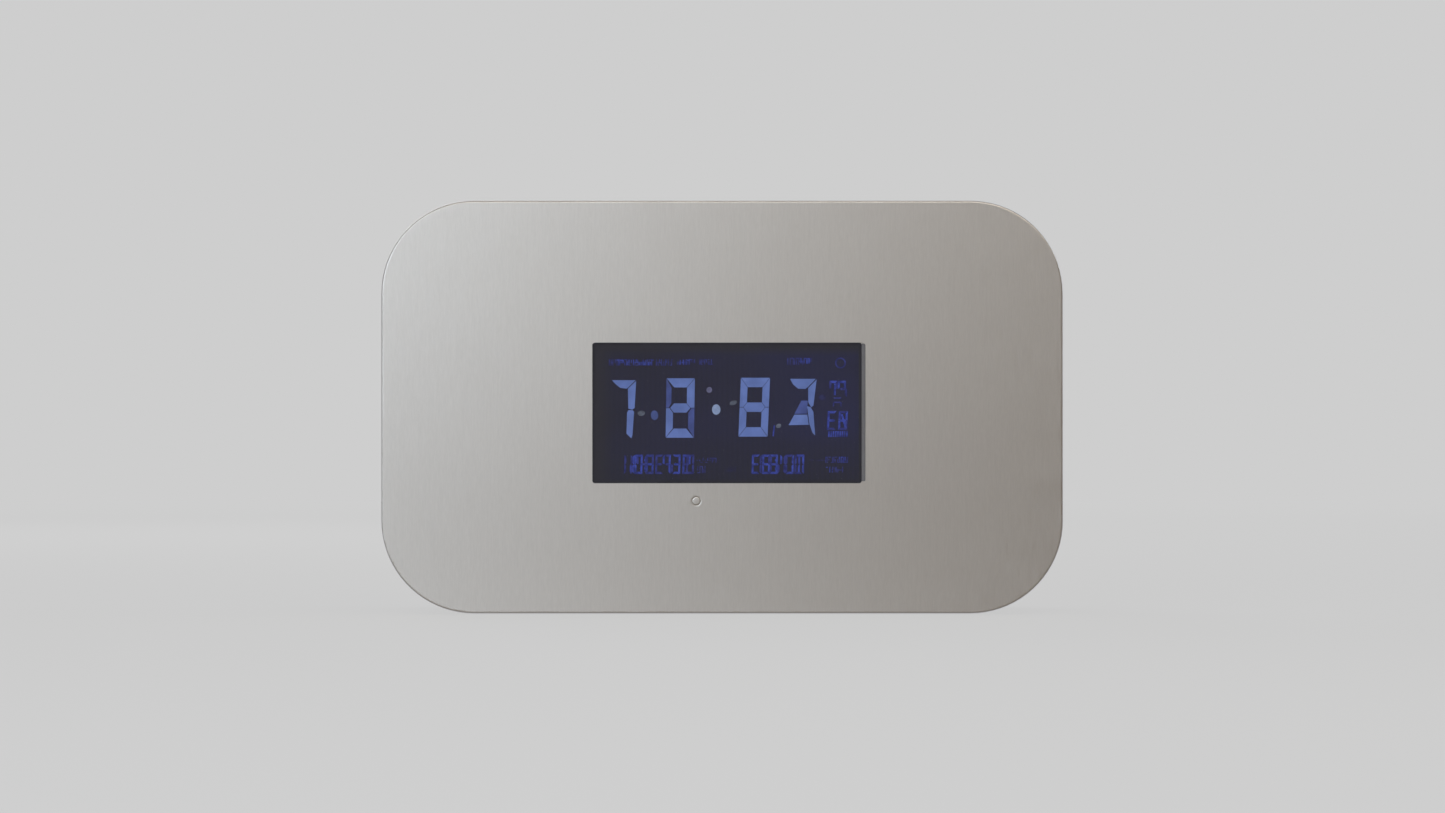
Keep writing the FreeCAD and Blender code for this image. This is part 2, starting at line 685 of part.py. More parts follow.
def frame_rods():
    """Rods that space the frames, the pinch lever's pivot, and the posts to the back wall."""
    x = (-FRAME_X - FRAME_T, FRAME_X + FRAME_T)
    rods = [rod_x(TIE_ROD_R, x, y, z) for y, z in TIE_ROD_PLACES]
    rods.append(rod_x(PIVOT_R, x, PIVOT_Y, PIVOT_Z))
    y = (FRAME_Y[1], INNER_BACK_Y)
    for z in POST_ZS:
        post = rod_y(POST_R, y, POST_X, z).cut(rod_y(SCREW_R, y, POST_X, z))
        rods.extend(both_sides(post))
    return rods


def cross_beams():
    """The beam that carries the belt pulleys and the bar that the pinch springs push on."""
    beam = box((-FRAME_X, FRAME_X), BEAM_Y, BEAM_Z)
    beam = beam.cut(rod_y(1.6, BEAM_Y, -PULLEY_X, PULLEY_Z))
    beam = beam.fuse(rod_y(PIVOT_R, (BELT_Y[0] - 1.2, BEAM_Y[1]), PULLEY_X, PULLEY_Z))
    bar = box((-FRAME_X, FRAME_X), SPRING_BAR_Y, span(SPRING_Z, 12.0))
    return [beam, bar]


def screw(x, y_under_head, z, length):
    """A pan-head screw pointing to the back."""
    head_y = (y_under_head - 2.0, y_under_head)
    head = rod_y(SCREW_HEAD_R, head_y, x, z)
    head = head.makeFillet(0.7, edges_on_plane(head, head_y[0]))
    cross = box(span(x, 3.2), (head_y[0], head_y[0] + 0.9), span(z, 0.7))
    cross = cross.fuse(box(span(x, 0.7), (head_y[0], head_y[0] + 0.9), span(z, 3.2)))
    return head.cut(cross).fuse(rod_y(SCREW_R, (y_under_head, y_under_head + length), x, z))


def chassis_screws():
    """Four screws through the frames' tabs and four through the main board."""
    screws = []
    for z in POST_ZS:
        screws.extend(both_sides(screw(POST_X, FRAME_Y[1] - FRAME_T, z, 9.0)))
    for z in BOARD_SCREW_ZS:
        screws.extend(both_sides(screw(BOARD_SCREW_X, MAIN_BOARD_Y, z, 4.4)))
    return screws


# ---------------------------------------------------------------- card feed
def feed_shaft():
    """Steel shaft across the frames."""
    return rod_x(FEED_SHAFT_R, (GEAR_X[0] - 1.5, FRAME_X + 5.5), FEED_Y, FEED_Z)


def feed_rollers():
    """Two rubber rollers on the feed shaft."""
    x = span(ROLLER_X, 12.0)
    roller = rod_x(FEED_ROLLER_R, x, FEED_Y, FEED_Z).cut(rod_x(FEED_SHAFT_R, x, FEED_Y, FEED_Z))
    return both_sides(roller)


def feed_bushes():
    """Flanged bushes that the feed shaft turns in."""
    body = rod_x(BUSH_R, (FRAME_X - 1.5, FRAME_X + FRAME_T), FEED_Y, FEED_Z)
    flange = rod_x(BUSH_R + 1.5, (FRAME_X - 1.5, FRAME_X), FEED_Y, FEED_Z)
    bore = rod_x(FEED_SHAFT_R + GAP, (FRAME_X - 2, FRAME_X + 3), FEED_Y, FEED_Z)
    return both_sides(body.fuse(flange).cut(bore).removeSplitter())


def gear_phases():
    """Phase of the pinion, the idler and the feed gear, in mesh."""
    motor = (MOTOR_Y, MOTOR_Z)
    pinion = 0.0
    idler = meshing_phase(motor, PINION_TEETH, pinion, idler_centre(), IDLER_TEETH)
    feed = meshing_phase(idler_centre(), IDLER_TEETH, idler, (FEED_Y, FEED_Z), FEED_TEETH)
    return pinion, idler, feed


def feed_gear():
    """Gear on the feed shaft's left end, with a thinner web."""
    wheel = gear(FEED_TEETH, gear_phases()[2], GEAR_X, (FEED_Y, FEED_Z), FEED_SHAFT_R)
    web_cut = rod_x(11.0, (GEAR_X[0], GEAR_X[0] + 1.5), FEED_Y, FEED_Z)
    web_cut = web_cut.cut(rod_x(5.5, (GEAR_X[0], GEAR_X[0] + 1.5), FEED_Y, FEED_Z))
    return wheel.cut(web_cut)


def idler_gear():
    """Gear that turns on the stud in the left frame."""
    wheel = gear(IDLER_TEETH, gear_phases()[1], GEAR_X, idler_centre(), STUD_R + GAP)
    ring = rod_x(7.4, (GEAR_X[0], GEAR_X[0] + 1.2), *idler_centre())
    return wheel.cut(ring.cut(rod_x(4.0, (GEAR_X[0], GEAR_X[0] + 1.2), *idler_centre())))


def motor_pinion():
    """Pinion with the motor's shaft in it."""
    centre = (MOTOR_Y, MOTOR_Z)
    pinion = gear(PINION_TEETH, gear_phases()[0], GEAR_X, centre, 1.0)
    return pinion.fuse(rod_x(1.25, (GEAR_X[0] - 0.5, -FRAME_X - GAP), *centre)).removeSplitter()


def feed_motor():
    """Can stepper motor inside the left frame."""
    can_x = (-FRAME_X, -FRAME_X + 19)
    can = rod_x(MOTOR_R, can_x, MOTOR_Y, MOTOR_Z)
    can = can.makeFillet(1.2, [e for e in can.Edges if abs(e.Vertexes[0].X - can_x[1]) < 1e-6])
    band = rod_x(MOTOR_R + 1, span(-FRAME_X + 9.5, 3), MOTOR_Y, MOTOR_Z)
    band = band.cut(rod_x(MOTOR_R, span(-FRAME_X + 9.5, 3), MOTOR_Y, MOTOR_Z))
    groove = band.common(box(can_x, (-40, CHANNEL_FRONT_Y - SHEET - 0.3), (0, 80)))
    return can.fuse(groove).removeSplitter()


# ---------------------------------------------------------------- pinch rollers
def pinch_lever():
    """Bent lever that hangs on the pivot rod and holds the pinch shaft."""
    ear_x = (PINCH_EAR_X, PINCH_EAR_X + 1.2)
    ear = link_plate(ear_x, (PIVOT_Y, PIVOT_Z), (PINCH_Y, FEED_Z), 4.0, 2.5)
    ear = ear.cut(rod_x(PIVOT_R + GAP, ear_x, PIVOT_Y, PIVOT_Z))
    ear = ear.cut(rod_x(PINCH_SHAFT_R, ear_x, PINCH_Y, FEED_Z))
    web = box((-PINCH_EAR_X, PINCH_EAR_X), (-3.0, -1.8), (66.0, 76.0))
    lever = web.fuse(both_sides(ear))
    return lever.cut(rod_x(PIVOT_R + 0.4, (-40, 40), PIVOT_Y, PIVOT_Z).common(web)).removeSplitter()


def pinch_shaft():
    """Thin shaft fixed in the lever."""
    return rod_x(PINCH_SHAFT_R, (-PINCH_EAR_X - 2, PINCH_EAR_X + 2), PINCH_Y, FEED_Z)


def pinch_rollers():
    """Free-turning rollers that press the card on the feed rollers."""
    x = span(ROLLER_X, 10.0)
    roller = rod_x(PINCH_ROLLER_R, x, PINCH_Y, FEED_Z)
    return both_sides(roller.cut(rod_x(PINCH_SHAFT_R + GAP, x, PINCH_Y, FEED_Z)))


def pinch_springs():
    """Springs between the bar and the lever."""
    spring = coil_spring(3.0, 0.4, 6, (SPRING_BAR_Y[1], -3.0), SPRING_X, SPRING_Z)
    return both_sides(spring)


# ---------------------------------------------------------------- print unit
def guide_rods():
    """The two rods that the carriage slides on."""
    x = (-FRAME_X - FRAME_T, FRAME_X + FRAME_T)
    return [rod_x(ROD_R, x, ROD_Y, ROD_Z), rod_x(TOP_ROD_R, x, TOP_ROD_Y, TOP_ROD_Z)]


def print_carriage():
    """Block on the guide rods, clamped to the belt's upper run."""
    x = (-CARRIAGE_HALF, CARRIAGE_HALF)
    body = box(x, (-14.5, -1.5), (99.0, 126.0))
    body = body.cut(box(x, (-6.0, -1.5), (112.0, 126.0)))
    clamp = box((-5, 5), (BELT_Y[0] - 0.5, BELT_Y[1] + 0.5), (PULLEY_Z + PULLEY_R + BELT_T + GAP, 99.0))
    body = body.fuse(clamp)
    body = body.cut(rod_x(ROD_R + GAP, x, ROD_Y, ROD_Z))
    return body.cut(rod_x(TOP_ROD_R + GAP, x, TOP_ROD_Y, TOP_ROD_Z)).removeSplitter()


def print_head():
    """Dot-matrix head with cooling fins and a narrow nose."""
    core = box((-10, 10), (-6.0, 2.5), (112.5, 126.5))
    for i in range(5):
        z = 114.2 + i * 2.5
        core = core.cut(box((-10, -6.5), (-6.0, 1.0), (z, z + 1.2)))
        core = core.cut(box((6.5, 10), (-6.0, 1.0), (z, z + 1.2)))
    nose = box((-4, 4), (2.5, RIBBON_Y - 0.3), span(PRINT_Z, 8.0))
    return core.fuse(nose).removeSplitter()


def stadium(radius, y):
    """A block round both pulleys, as the belt runs."""
    middle = box((-PULLEY_X, PULLEY_X), y, span(PULLEY_Z, 2 * radius))
    return middle.fuse([rod_y(radius, y, -PULLEY_X, PULLEY_Z), rod_y(radius, y, PULLEY_X, PULLEY_Z)])


def carriage_belt():
    """Closed belt round the two pulleys."""
    inner_r = PULLEY_R + 0.03
    return stadium(PULLEY_R + BELT_T, BELT_Y).cut(stadium(inner_r, BELT_Y)).removeSplitter()


def pulley(x):
    """Pulley core with a flange on each side of the belt."""
    y = (BELT_Y[0] - 0.5, BELT_Y[1] + 0.5)
    core = rod_y(PULLEY_R, y, x, PULLEY_Z)
    flanges = [rod_y(5.9, (y[0], y[0] + 0.45), x, PULLEY_Z), rod_y(5.9, (y[1] - 0.45, y[1]), x, PULLEY_Z)]
    return core.fuse(flanges)


def drive_pulley():
    """Pulley on the carriage motor's shaft."""
    shaft = rod_y(1.0, (BELT_Y[0] - 1.0, BEAM_Y[1] - GAP), -PULLEY_X, PULLEY_Z)
    return pulley(-PULLEY_X).fuse(shaft).removeSplitter()


def tension_pulley():
    """Pulley that turns on the stud in the beam."""
    y = (BELT_Y[0] - 0.5, BELT_Y[1] + 0.5)
    return pulley(PULLEY_X).removeSplitter().cut(rod_y(PIVOT_R + GAP, y, PULLEY_X, PULLEY_Z))


def carriage_motor():
    """Small motor behind the beam."""
    y = (BEAM_Y[1], 7.5)
    can = rod_y(8.5, y, -PULLEY_X, PULLEY_Z)
    return can.makeFillet(1.0, edges_on_plane(can, y[1]))


def ribbon_cassette():
    """Ribbon box that rests on the frames, with a horn at each side of the print line."""
    body = box((-CASSETTE_HALF, CASSETTE_HALF), CASSETTE_Y, CASSETTE_Z)
    upright = [e for e in body.Edges if abs(e.Vertexes[0].Z - e.Vertexes[1].Z) > 1e-6]
    body = body.makeFillet(3.0, upright)
    horn = box(HORN_X, (-1.0, 8.3), (110.0, CASSETTE_Z[0] + 2))
    body = body.fuse(both_sides(horn.cut(box(HORN_X, (2.5, 10), (126.5, 140)))))
    shaft_y = (CASSETTE_Y[0], CASSETTE_Y[0] + 6)
    return body.cut(rod_y(2.0 + GAP, shaft_y, KNOB_X, KNOB_Z)).removeSplitter()


def ink_ribbon():
    """Inked ribbon stretched between the horns."""
    return box((-HORN_X[0], HORN_X[0]), (RIBBON_Y, RIBBON_Y + 0.12), RIBBON_Z)


def ribbon_knob():
    """Knob that takes up the ribbon's slack by hand."""
    y = (CASSETTE_Y[0] - 4, CASSETTE_Y[0] - 0.2)
    knob = rod_y(6.0, y, KNOB_X, KNOB_Z)
    for i in range(10):
        angle = math.radians(36 * i)
        groove_x = KNOB_X + 6.3 * math.cos(angle)
        groove_z = KNOB_Z + 6.3 * math.sin(angle)
        knob = knob.cut(rod_y(1.0, y, groove_x, groove_z))
    return knob.fuse(rod_y(2.0, (y[1], CASSETTE_Y[0] + 5.5), KNOB_X, KNOB_Z))


# ---------------------------------------------------------------- card sensor
def sensor_lever():
    """Lever whose tip stands in the channel and whose tail shades the light barrier."""
    hub = rod_x(2.4, LEVER_X, LEVER_Y, LEVER_Z)
    tip = link_plate(LEVER_X, (LEVER_Y, LEVER_Z), (LEVER_Y - 9.0, LEVER_Z - 6.0), 1.6, 0.9)
    tail = link_plate(LEVER_X, (LEVER_Y, LEVER_Z), (LEVER_Y + 9.0, LEVER_Z + 2.0), 1.6, 1.2)
    return hub.fuse([tip, tail]).cut(rod_x(1.0 + GAP, LEVER_X, LEVER_Y, LEVER_Z)).removeSplitter()


def card_sensor():
    """Bracket with the lever's pin, and the light barrier on the main board."""
    base_y = CHANNEL_REAR_Y + SHEET
    ears = []
    for x in ((LEVER_X[0] - 2.0, LEVER_X[0] - 0.8), (LEVER_X[1] + 0.8, LEVER_X[1] + 2.0)):
        ears.append(box(x, (base_y, LEVER_Y + 2.5), span(LEVER_Z, 7.0)))
    pin = rod_x(1.0, (LEVER_X[0] - 2.0, LEVER_X[1] + 2.0), LEVER_Y, LEVER_Z)
    bracket = pin.fuse(ears).removeSplitter()
    barrier_z = (LEVER_Z - 4, LEVER_Z + 8)
    barrier = box((26.0, 35.0), (35.5, MAIN_BOARD_Y), barrier_z)
    towers = [box(x, (27.5, 35.5), barrier_z) for x in ((26.0, 28.6), (32.4, 35.0))]
    return [bracket, barrier.fuse(towers).removeSplitter()]


# ---------------------------------------------------------------- electronics
def main_board():
    """Main circuit board on the housing's bosses."""
    y = (MAIN_BOARD_Y, MAIN_BOARD_Y + BOARD_T)
    board = box((-MAIN_BOARD_X, MAIN_BOARD_X), y, MAIN_BOARD_Z)
    for x in (-BOARD_SCREW_X, BOARD_SCREW_X):
        for z in BOARD_SCREW_ZS:
            board = board.cut(rod_y(SCREW_R, y, x, z))
    return board


def board_parts():
    """Chips, capacitors, connectors and buzzer on the main board's front."""
    def low(x, width, z, height, rise):
        return box(span(x, width), (MAIN_BOARD_Y - rise, MAIN_BOARD_Y), span(z, height))

    parts = [low(0, 16, 76, 16, 1.7), low(22, 8, 66, 12, 1.8), low(-20, 10, 96, 6, 1.8)]
    parts += [low(-55.5, 7, 76, 14, 4.0), low(-22, 14, 28, 6, 6.0), low(16, 18, 28, 6, 6.0)]
    parts += [low(-8, 20, 123, 6, 6.0), low(-42, 10, 100, 14, 4.5)]
    for x, z in ((-42, 44), (-42, 56), (-30, 44)):
        can_y = (MAIN_BOARD_Y - 8.5, MAIN_BOARD_Y)
        can = rod_y(4.2, can_y, x, z)
        parts.append(can.makeFillet(0.6, edges_on_plane(can, can_y[0])))
    buzzer_y = (MAIN_BOARD_Y - 7, MAIN_BOARD_Y)
    buzzer = rod_y(6.5, buzzer_y, 42, 44)
    parts.append(buzzer.cut(rod_y(1.2, (buzzer_y[0], buzzer_y[0] + 3), 42, 44)))
    return parts


def dc_jack():
    """Socket for the mains adapter's plug, facing left through the housing's wall."""
    body_x = (-INNER_X, -INNER_X + 14)
    body = box(body_x, span(JACK_Y, 11.0), span(JACK_Z, 11.0))
    bore_x = (body_x[0], body_x[0] + 10)
    body = body.cut(rod_x(3.2, bore_x, JACK_Y, JACK_Z))
    return body.fuse(rod_x(1.0, bore_x, JACK_Y, JACK_Z))


def display_cable():
    """Flat cable from the display board, past the hinge, to the main board."""
    start = (-52.0, CABLE_FRONT_Y)
    end = (-59.0, CABLE_REAR_Y)
    corner_front = (CABLE_TURN_X, CABLE_FRONT_Y)
    corner_rear = (CABLE_TURN_X, CABLE_REAR_Y)
    r, half = CABLE_BEND_R, CABLE_T / 2
    quarter = r * (1 - math.sqrt(0.5))

    def ring(offset):
        """Points of the route, offset outwards, as line ends and arc middles."""
        q = quarter - offset * math.sqrt(0.5)
        x, low, high = corner_front[0] - offset, start[1] - offset, end[1] + offset
        return [
            (start[0], low), (corner_front[0] + r, low),
            (corner_front[0] + q, corner_front[1] + q),
            (x, corner_front[1] + r), (x, corner_rear[1] - r),
            (corner_rear[0] + q, corner_rear[1] - q),
            (corner_rear[0] + r, high), (end[0], high),
        ]

    def path(offset):
        p = [FreeCAD.Vector(a, b, CABLE_Z[0]) for a, b in ring(offset)]
        edges = [Part.makeLine(p[0], p[1]), Part.Arc(p[1], p[2], p[3]).toShape()]
        edges += [Part.makeLine(p[3], p[4]), Part.Arc(p[4], p[5], p[6]).toShape()]
        return edges + [Part.makeLine(p[6], p[7])], p[0], p[7]

    outside, out_start, out_end = path(half)
    inside, in_start, in_end = path(-half)
    ends = [Part.makeLine(out_end, in_end), Part.makeLine(in_start, out_start)]
    outline = Part.Wire(Part.__sortEdges__(outside + inside + ends))
    return Part.Face(outline).extrude(FreeCAD.Vector(0, 0, CABLE_Z[1] - CABLE_Z[0]))


# ---------------------------------------------------------------- lock
def lock_body():
    """Lock housing through the right wall, with its nut."""
    barrel = rod_x(LOCK_R, (CAM_X[1] + 2.0, SIDE_X), LOCK_Y, LOCK_Z)
    cap = rod_x(LOCK_R + 2, (SIDE_X, SIDE_X + 1.2), LOCK_Y, LOCK_Z)
    cap = cap.makeFillet(0.5, [e for e in cap.Edges if abs(e.Vertexes[0].X - SIDE_X - 1.2) < 1e-6])
    bore = rod_x(4.0 + GAP, (CAM_X[1], SIDE_X + 2), LOCK_Y, LOCK_Z)
    nut_x = (INNER_X - 2.6, INNER_X)
    corners = []
    for k in range(7):
        angle = math.radians(60 * k)
        y, z = LOCK_Y + 9 * math.cos(angle), LOCK_Z + 9 * math.sin(angle)
        corners.append(FreeCAD.Vector(nut_x[0], y, z))
    nut = Part.Face(Part.makePolygon(corners)).extrude(FreeCAD.Vector(2.6, 0, 0))
    nut = nut.cut(rod_x(LOCK_R, nut_x, LOCK_Y, LOCK_Z))
    return [barrel.fuse(cap).cut(bore).removeSplitter(), nut]


def lock_plug():
    """Key plug, with its keyway, that turns in the lock body."""
    plug = rod_x(4.0, (CAM_X[1], SIDE_X + 1.0), LOCK_Y, LOCK_Z)
    keyway = box((SIDE_X - 7, SIDE_X + 1.0), span(LOCK_Y, 1.2), span(LOCK_Z, 5.2))
    return plug.cut(keyway)


def lock_cam():
    """Flat cam on the plug's inner end; it points forward when unlocked."""
    tip = (LOCK_Y - CAM_LENGTH + CAM_HALF_W, LOCK_Z)
    cam = link_plate(CAM_X, (LOCK_Y, LOCK_Z), tip, CAM_HALF_W, CAM_HALF_W)
    nut = rod_x(3.0, (CAM_X[0] - 1.6, CAM_X[0]), LOCK_Y, LOCK_Z)
    return cam.fuse(nut)


# ---------------------------------------------------------------- battery bay
def battery_tray():
    """Open box behind the battery cover."""
    wall = 1.5
    floor_y = 27.0
    outer = box((BAY_X[0] - wall, BAY_X[1] + wall), (floor_y, INNER_BACK_Y), (BAY_Z[0] - wall, BAY_Z[1] + wall))
    return outer.cut(box(BAY_X, (floor_y + wall, INNER_BACK_Y), BAY_Z))


def battery_cells():
    """Three backup cells side by side."""
    middle_x = sum(BAY_X) / 2
    middle_z = sum(BAY_Z) / 2
    y = 28.5 + CELL_R + 0.3
    cells = []
    for i in (-1, 0, 1):
        x = middle_x + i * CELL_PITCH
        cell = rod_z(CELL_R, span(middle_z, CELL_LENGTH), x, y)
        cells.append(cell.fuse(rod_z(1.8, (middle_z, middle_z + CELL_LENGTH / 2 + 1), x, y)))
    return cells


def battery_hinge():
    """The battery cover's hinge line, as y and z."""
    return (BACK_Y - COVER_T / 2, BAY_Z[0] + COVER_CLEAR + COVER_T / 2)


def battery_cover():
    """Cover in the back wall, turning on trunnions at its rounded lower edge."""
    x = (BAY_X[0] + COVER_CLEAR, BAY_X[1] - COVER_CLEAR)
    axis_y, axis_z = battery_hinge()
    panel = box(x, (BACK_Y - COVER_T, BACK_Y), (axis_z, BAY_Z[1] - COVER_CLEAR))
    panel = panel.fuse(rod_x(COVER_T / 2, x, axis_y, axis_z))
    pin_x = (BAY_X[0] - TRUNNION_REACH + 0.2, BAY_X[1] + TRUNNION_REACH - 0.2)
    panel = panel.fuse(rod_x(TRUNNION_R, pin_x, axis_y, axis_z))
    finger = rod_z(6.0, (BAY_Z[1] - 5, BAY_Z[1]), sum(x) / 2, BACK_Y + 5.0)
    return panel.cut(finger).removeSplitter()


# ---------------------------------------------------------------- setting keys
def keypad_panel():
    """Panel beside the right frame that guides the setting keys."""
    panel = box(KEY_PANEL_X, KEY_PANEL_Y, KEY_PANEL_Z)
    opening = 2 * (KEY_HALF + 0.25)
    for z in KEY_ZS:
        panel = panel.cut(box(span(KEY_X, opening), KEY_PANEL_Y, span(z, opening)))
    for x in (KEY_PANEL_X[0] + 4, KEY_PANEL_X[1] - 4):
        for z in (KEY_PANEL_Z[0] + 4, KEY_PANEL_Z[1] - 4):
            panel = panel.fuse(rod_y(2.0, (KEY_PANEL_Y[1], KEY_BOARD_Y), x, z))
    return panel


def keypad_board():
    """Small board behind the keys, with a switch under each."""
    pieces = [box(KEY_PANEL_X, (KEY_BOARD_Y, KEY_BOARD_Y + BOARD_T), KEY_PANEL_Z)]
    for z in KEY_ZS:
        pieces.append(box(span(KEY_X, 6.0), (KEY_BOARD_Y - 1.9, KEY_BOARD_Y), span(z, 6.0)))
    return pieces


def setting_key(z):
    """A square key with a flange behind the panel."""
    cap_y = (KEY_PANEL_Y[0] - 2.5, KEY_PANEL_Y[1])
    cap = box(span(KEY_X, 2 * KEY_HALF), cap_y, span(z, 2 * KEY_HALF))
    cap = cap.makeFillet(0.8, edges_on_plane(cap, cap_y[0]))
    flange = box(span(KEY_X, 2 * KEY_HALF + 2), (KEY_PANEL_Y[1], KEY_PANEL_Y[1] + 0.6), span(z, 2 * KEY_HALF + 2))
    return cap.fuse(flange)


# ---------------------------------------------------------------- export
def pieces():
    """Every node's name with its solid or solids."""
    nodes = {
        make.__name__: make()
        for make in (
            front_plate, front_cover, window_lens, lcd_glass, light_guide, display_board,
            contact_strips, display_parts, set_button, rear_housing, hinge_pins, rubber_feet,
            card_slot_bezel, card_guide_front, card_guide_rear, card_rails, platen,
            frame_left, frame_right, frame_rods, cross_beams, chassis_screws,
            feed_shaft, feed_rollers, feed_bushes, feed_gear, idler_gear, motor_pinion, feed_motor,
            pinch_lever, pinch_shaft, pinch_rollers, pinch_springs, guide_rods, print_carriage,
            print_head, carriage_belt, drive_pulley, tension_pulley, carriage_motor,
            ribbon_cassette, ink_ribbon, ribbon_knob, sensor_lever, card_sensor,
            main_board, board_parts, dc_jack, display_cable, lock_body, lock_plug, lock_cam,
            battery_tray, battery_cells, battery_cover, keypad_panel, keypad_board,
        )
    }
    for name, z in zip(KEY_NAMES, KEY_ZS):
        nodes[name] = setting_key(z)
    return nodes


def main():
    os.makedirs("parts", exist_ok=True)
    for name, made in pieces().items():
        shape = Part.makeCompound(made) if isinstance(made, list) else made
        bad = [s for s in shape.Solids if not s.isValid() or s.Volume <= 0]
        if bad or not shape.Solids:
            print("check", name, "solids", len(shape.Solids), "bad", len(bad))
        shape.exportStep(os.path.join("parts", name + ".step"))
    print("written", len(os.listdir("parts")), "files")


main()
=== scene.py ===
"""Looks of the punch time clock: a material for every CAD node, the lit display, and detail on the boards.

Everything is in the part's own frame, in metres: +X to the user's right, +Y from the face to the back, +Z up.
"""

import math
import random

import bmesh
import bpy
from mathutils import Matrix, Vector


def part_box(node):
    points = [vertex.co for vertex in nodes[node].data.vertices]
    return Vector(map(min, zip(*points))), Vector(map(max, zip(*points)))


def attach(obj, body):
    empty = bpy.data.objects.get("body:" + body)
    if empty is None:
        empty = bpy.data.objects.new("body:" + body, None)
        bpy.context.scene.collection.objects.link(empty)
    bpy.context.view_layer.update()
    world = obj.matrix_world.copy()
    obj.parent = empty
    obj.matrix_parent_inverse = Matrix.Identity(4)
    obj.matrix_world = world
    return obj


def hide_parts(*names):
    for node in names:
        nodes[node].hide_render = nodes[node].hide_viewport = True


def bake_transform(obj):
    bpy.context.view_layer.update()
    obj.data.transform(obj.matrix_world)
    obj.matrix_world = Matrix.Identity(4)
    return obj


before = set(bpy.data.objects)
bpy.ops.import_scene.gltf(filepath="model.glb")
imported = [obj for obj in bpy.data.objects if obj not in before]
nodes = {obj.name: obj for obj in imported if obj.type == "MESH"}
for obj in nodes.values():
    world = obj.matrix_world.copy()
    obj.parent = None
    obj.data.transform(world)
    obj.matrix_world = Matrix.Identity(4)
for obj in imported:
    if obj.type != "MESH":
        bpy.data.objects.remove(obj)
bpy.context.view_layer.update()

MM = 0.001
face_lo, face_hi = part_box("front_plate")
CENTRE_X = (face_lo.x + face_hi.x) / 2
CENTRE_Z = (face_lo.z + face_hi.z) / 2
FACE_Y = face_lo.y


# ---------------------------------------------------------------- node material helpers
class Nodes:
    """Shorthand for adding and joining nodes in one tree."""

    def __init__(self, tree, space):
        self.tree = tree
        self.coordinates = self.add("ShaderNodeTexCoord").outputs[space]

    def add(self, kind, **settings):
        node = self.tree.nodes.new(kind)
        for key, value in settings.items():
            setattr(node, key, value)
        return node

    def link(self, source, target):
        self.tree.links.new(source, target)

    def stretched(self, stretch):
        """The coordinates scaled along each axis; a factor below one draws a pattern out along that axis."""
        mapping = self.add("ShaderNodeMapping")
        mapping.inputs["Scale"].default_value = stretch
        self.link(self.coordinates, mapping.inputs["Vector"])
        return mapping.outputs["Vector"]

    def noise(self, size, detail=3.0, stretch=(1, 1, 1), roughness=0.5):
        """Noise whose features are about size metres across."""
        texture = self.add("ShaderNodeTexNoise")
        texture.inputs["Scale"].default_value = 1 / size
        texture.inputs["Detail"].default_value = detail
        texture.inputs["Roughness"].default_value = roughness
        self.link(self.stretched(stretch), texture.inputs["Vector"])
        return texture.outputs["Fac"]

    def cells(self, size, distance="EUCLIDEAN", stretch=(1, 1, 1)):
        """Distance to the nearest of some scattered points, which lie about size metres apart."""
        texture = self.add("ShaderNodeTexVoronoi", distance=distance)
        texture.inputs["Scale"].default_value = 1 / size
        self.link(self.stretched(stretch), texture.inputs["Vector"])
        return texture.outputs["Distance"]

    def bands(self, size, direction):
        """Even bands across one axis; their pitch is 0.314 of size."""
        texture = self.add("ShaderNodeTexWave", wave_type="BANDS", bands_direction=direction)
        texture.inputs["Scale"].default_value = 1 / size
        self.link(self.coordinates, texture.inputs["Vector"])
        return texture.outputs["Fac"]

    def ramp(self, factor, low, high, out_low, out_high, kind="LINEAR"):
        """The factor's range from low to high, mapped onto out_low to out_high and clamped there."""
        node = self.add("ShaderNodeMapRange", interpolation_type=kind)
        for key, value in (("From Min", low), ("From Max", high), ("To Min", out_low), ("To Max", out_high)):
            node.inputs[key].default_value = value
        self.link(factor, node.inputs["Value"])
        return node.outputs["Result"]

    def mix(self, factor, first, second):
        """From first at factor 0 to second at 1; each is a colour or another node's output."""
        node = self.add("ShaderNodeMix", data_type="RGBA")
        self.link(factor, node.inputs["Factor"])
        colour_inputs = {socket.name: socket for socket in node.inputs if socket.type == "RGBA"}
        for value, socket in ((first, colour_inputs["A"]), (second, colour_inputs["B"])):
            if hasattr(value, "is_linked"):
                self.link(value, socket)
            else:
                socket.default_value = (*value, 1)
        return next(socket for socket in node.outputs if socket.type == "RGBA")

    def math(self, operation, first, second):
        node = self.add("ShaderNodeMath", operation=operation)
        for value, socket in zip((first, second), node.inputs):
            if hasattr(value, "is_linked"):
                self.link(value, socket)
            else:
                socket.default_value = value
        return node.outputs["Value"]

    def axis(self, name):
        """One of the coordinates; in a material it is the object's own space, in metres."""
        node = self.add("ShaderNodeSeparateXYZ")
        self.link(self.coordinates, node.inputs["Vector"])
        return node.outputs[name]


class Surface(Nodes):
    """A Principled material whose colour, roughness and bump come from noise in the object's own space."""

    def __init__(self, name, **sockets):
        self.material = bpy.data.materials.new(name)
        self.material.use_nodes = True
        super().__init__(self.material.node_tree, "Object")
        self.shader = self.tree.nodes["Principled BSDF"]
        for socket, value in sockets.items():
            self.shader.inputs[socket.replace("_", " ")].default_value = value

    def colour(self, source):
        self.link(source, self.shader.inputs["Base Color"])

    def rough(self, factor, low, high):
        """Roughness between low and high, led by a noise's middle range."""
        self.link(self.ramp(factor, 0.3, 0.7, low, high), self.shader.inputs["Roughness"])

    def bump(self, height, distance, strength=1.0):
        node = self.add("ShaderNodeBump")
        node.inputs["Distance"].default_value = distance
        node.inputs["Strength"].default_value = strength
        self.link(height, node.inputs["Height"])
        self.link(node.outputs["Normal"], self.shader.inputs["Normal"])


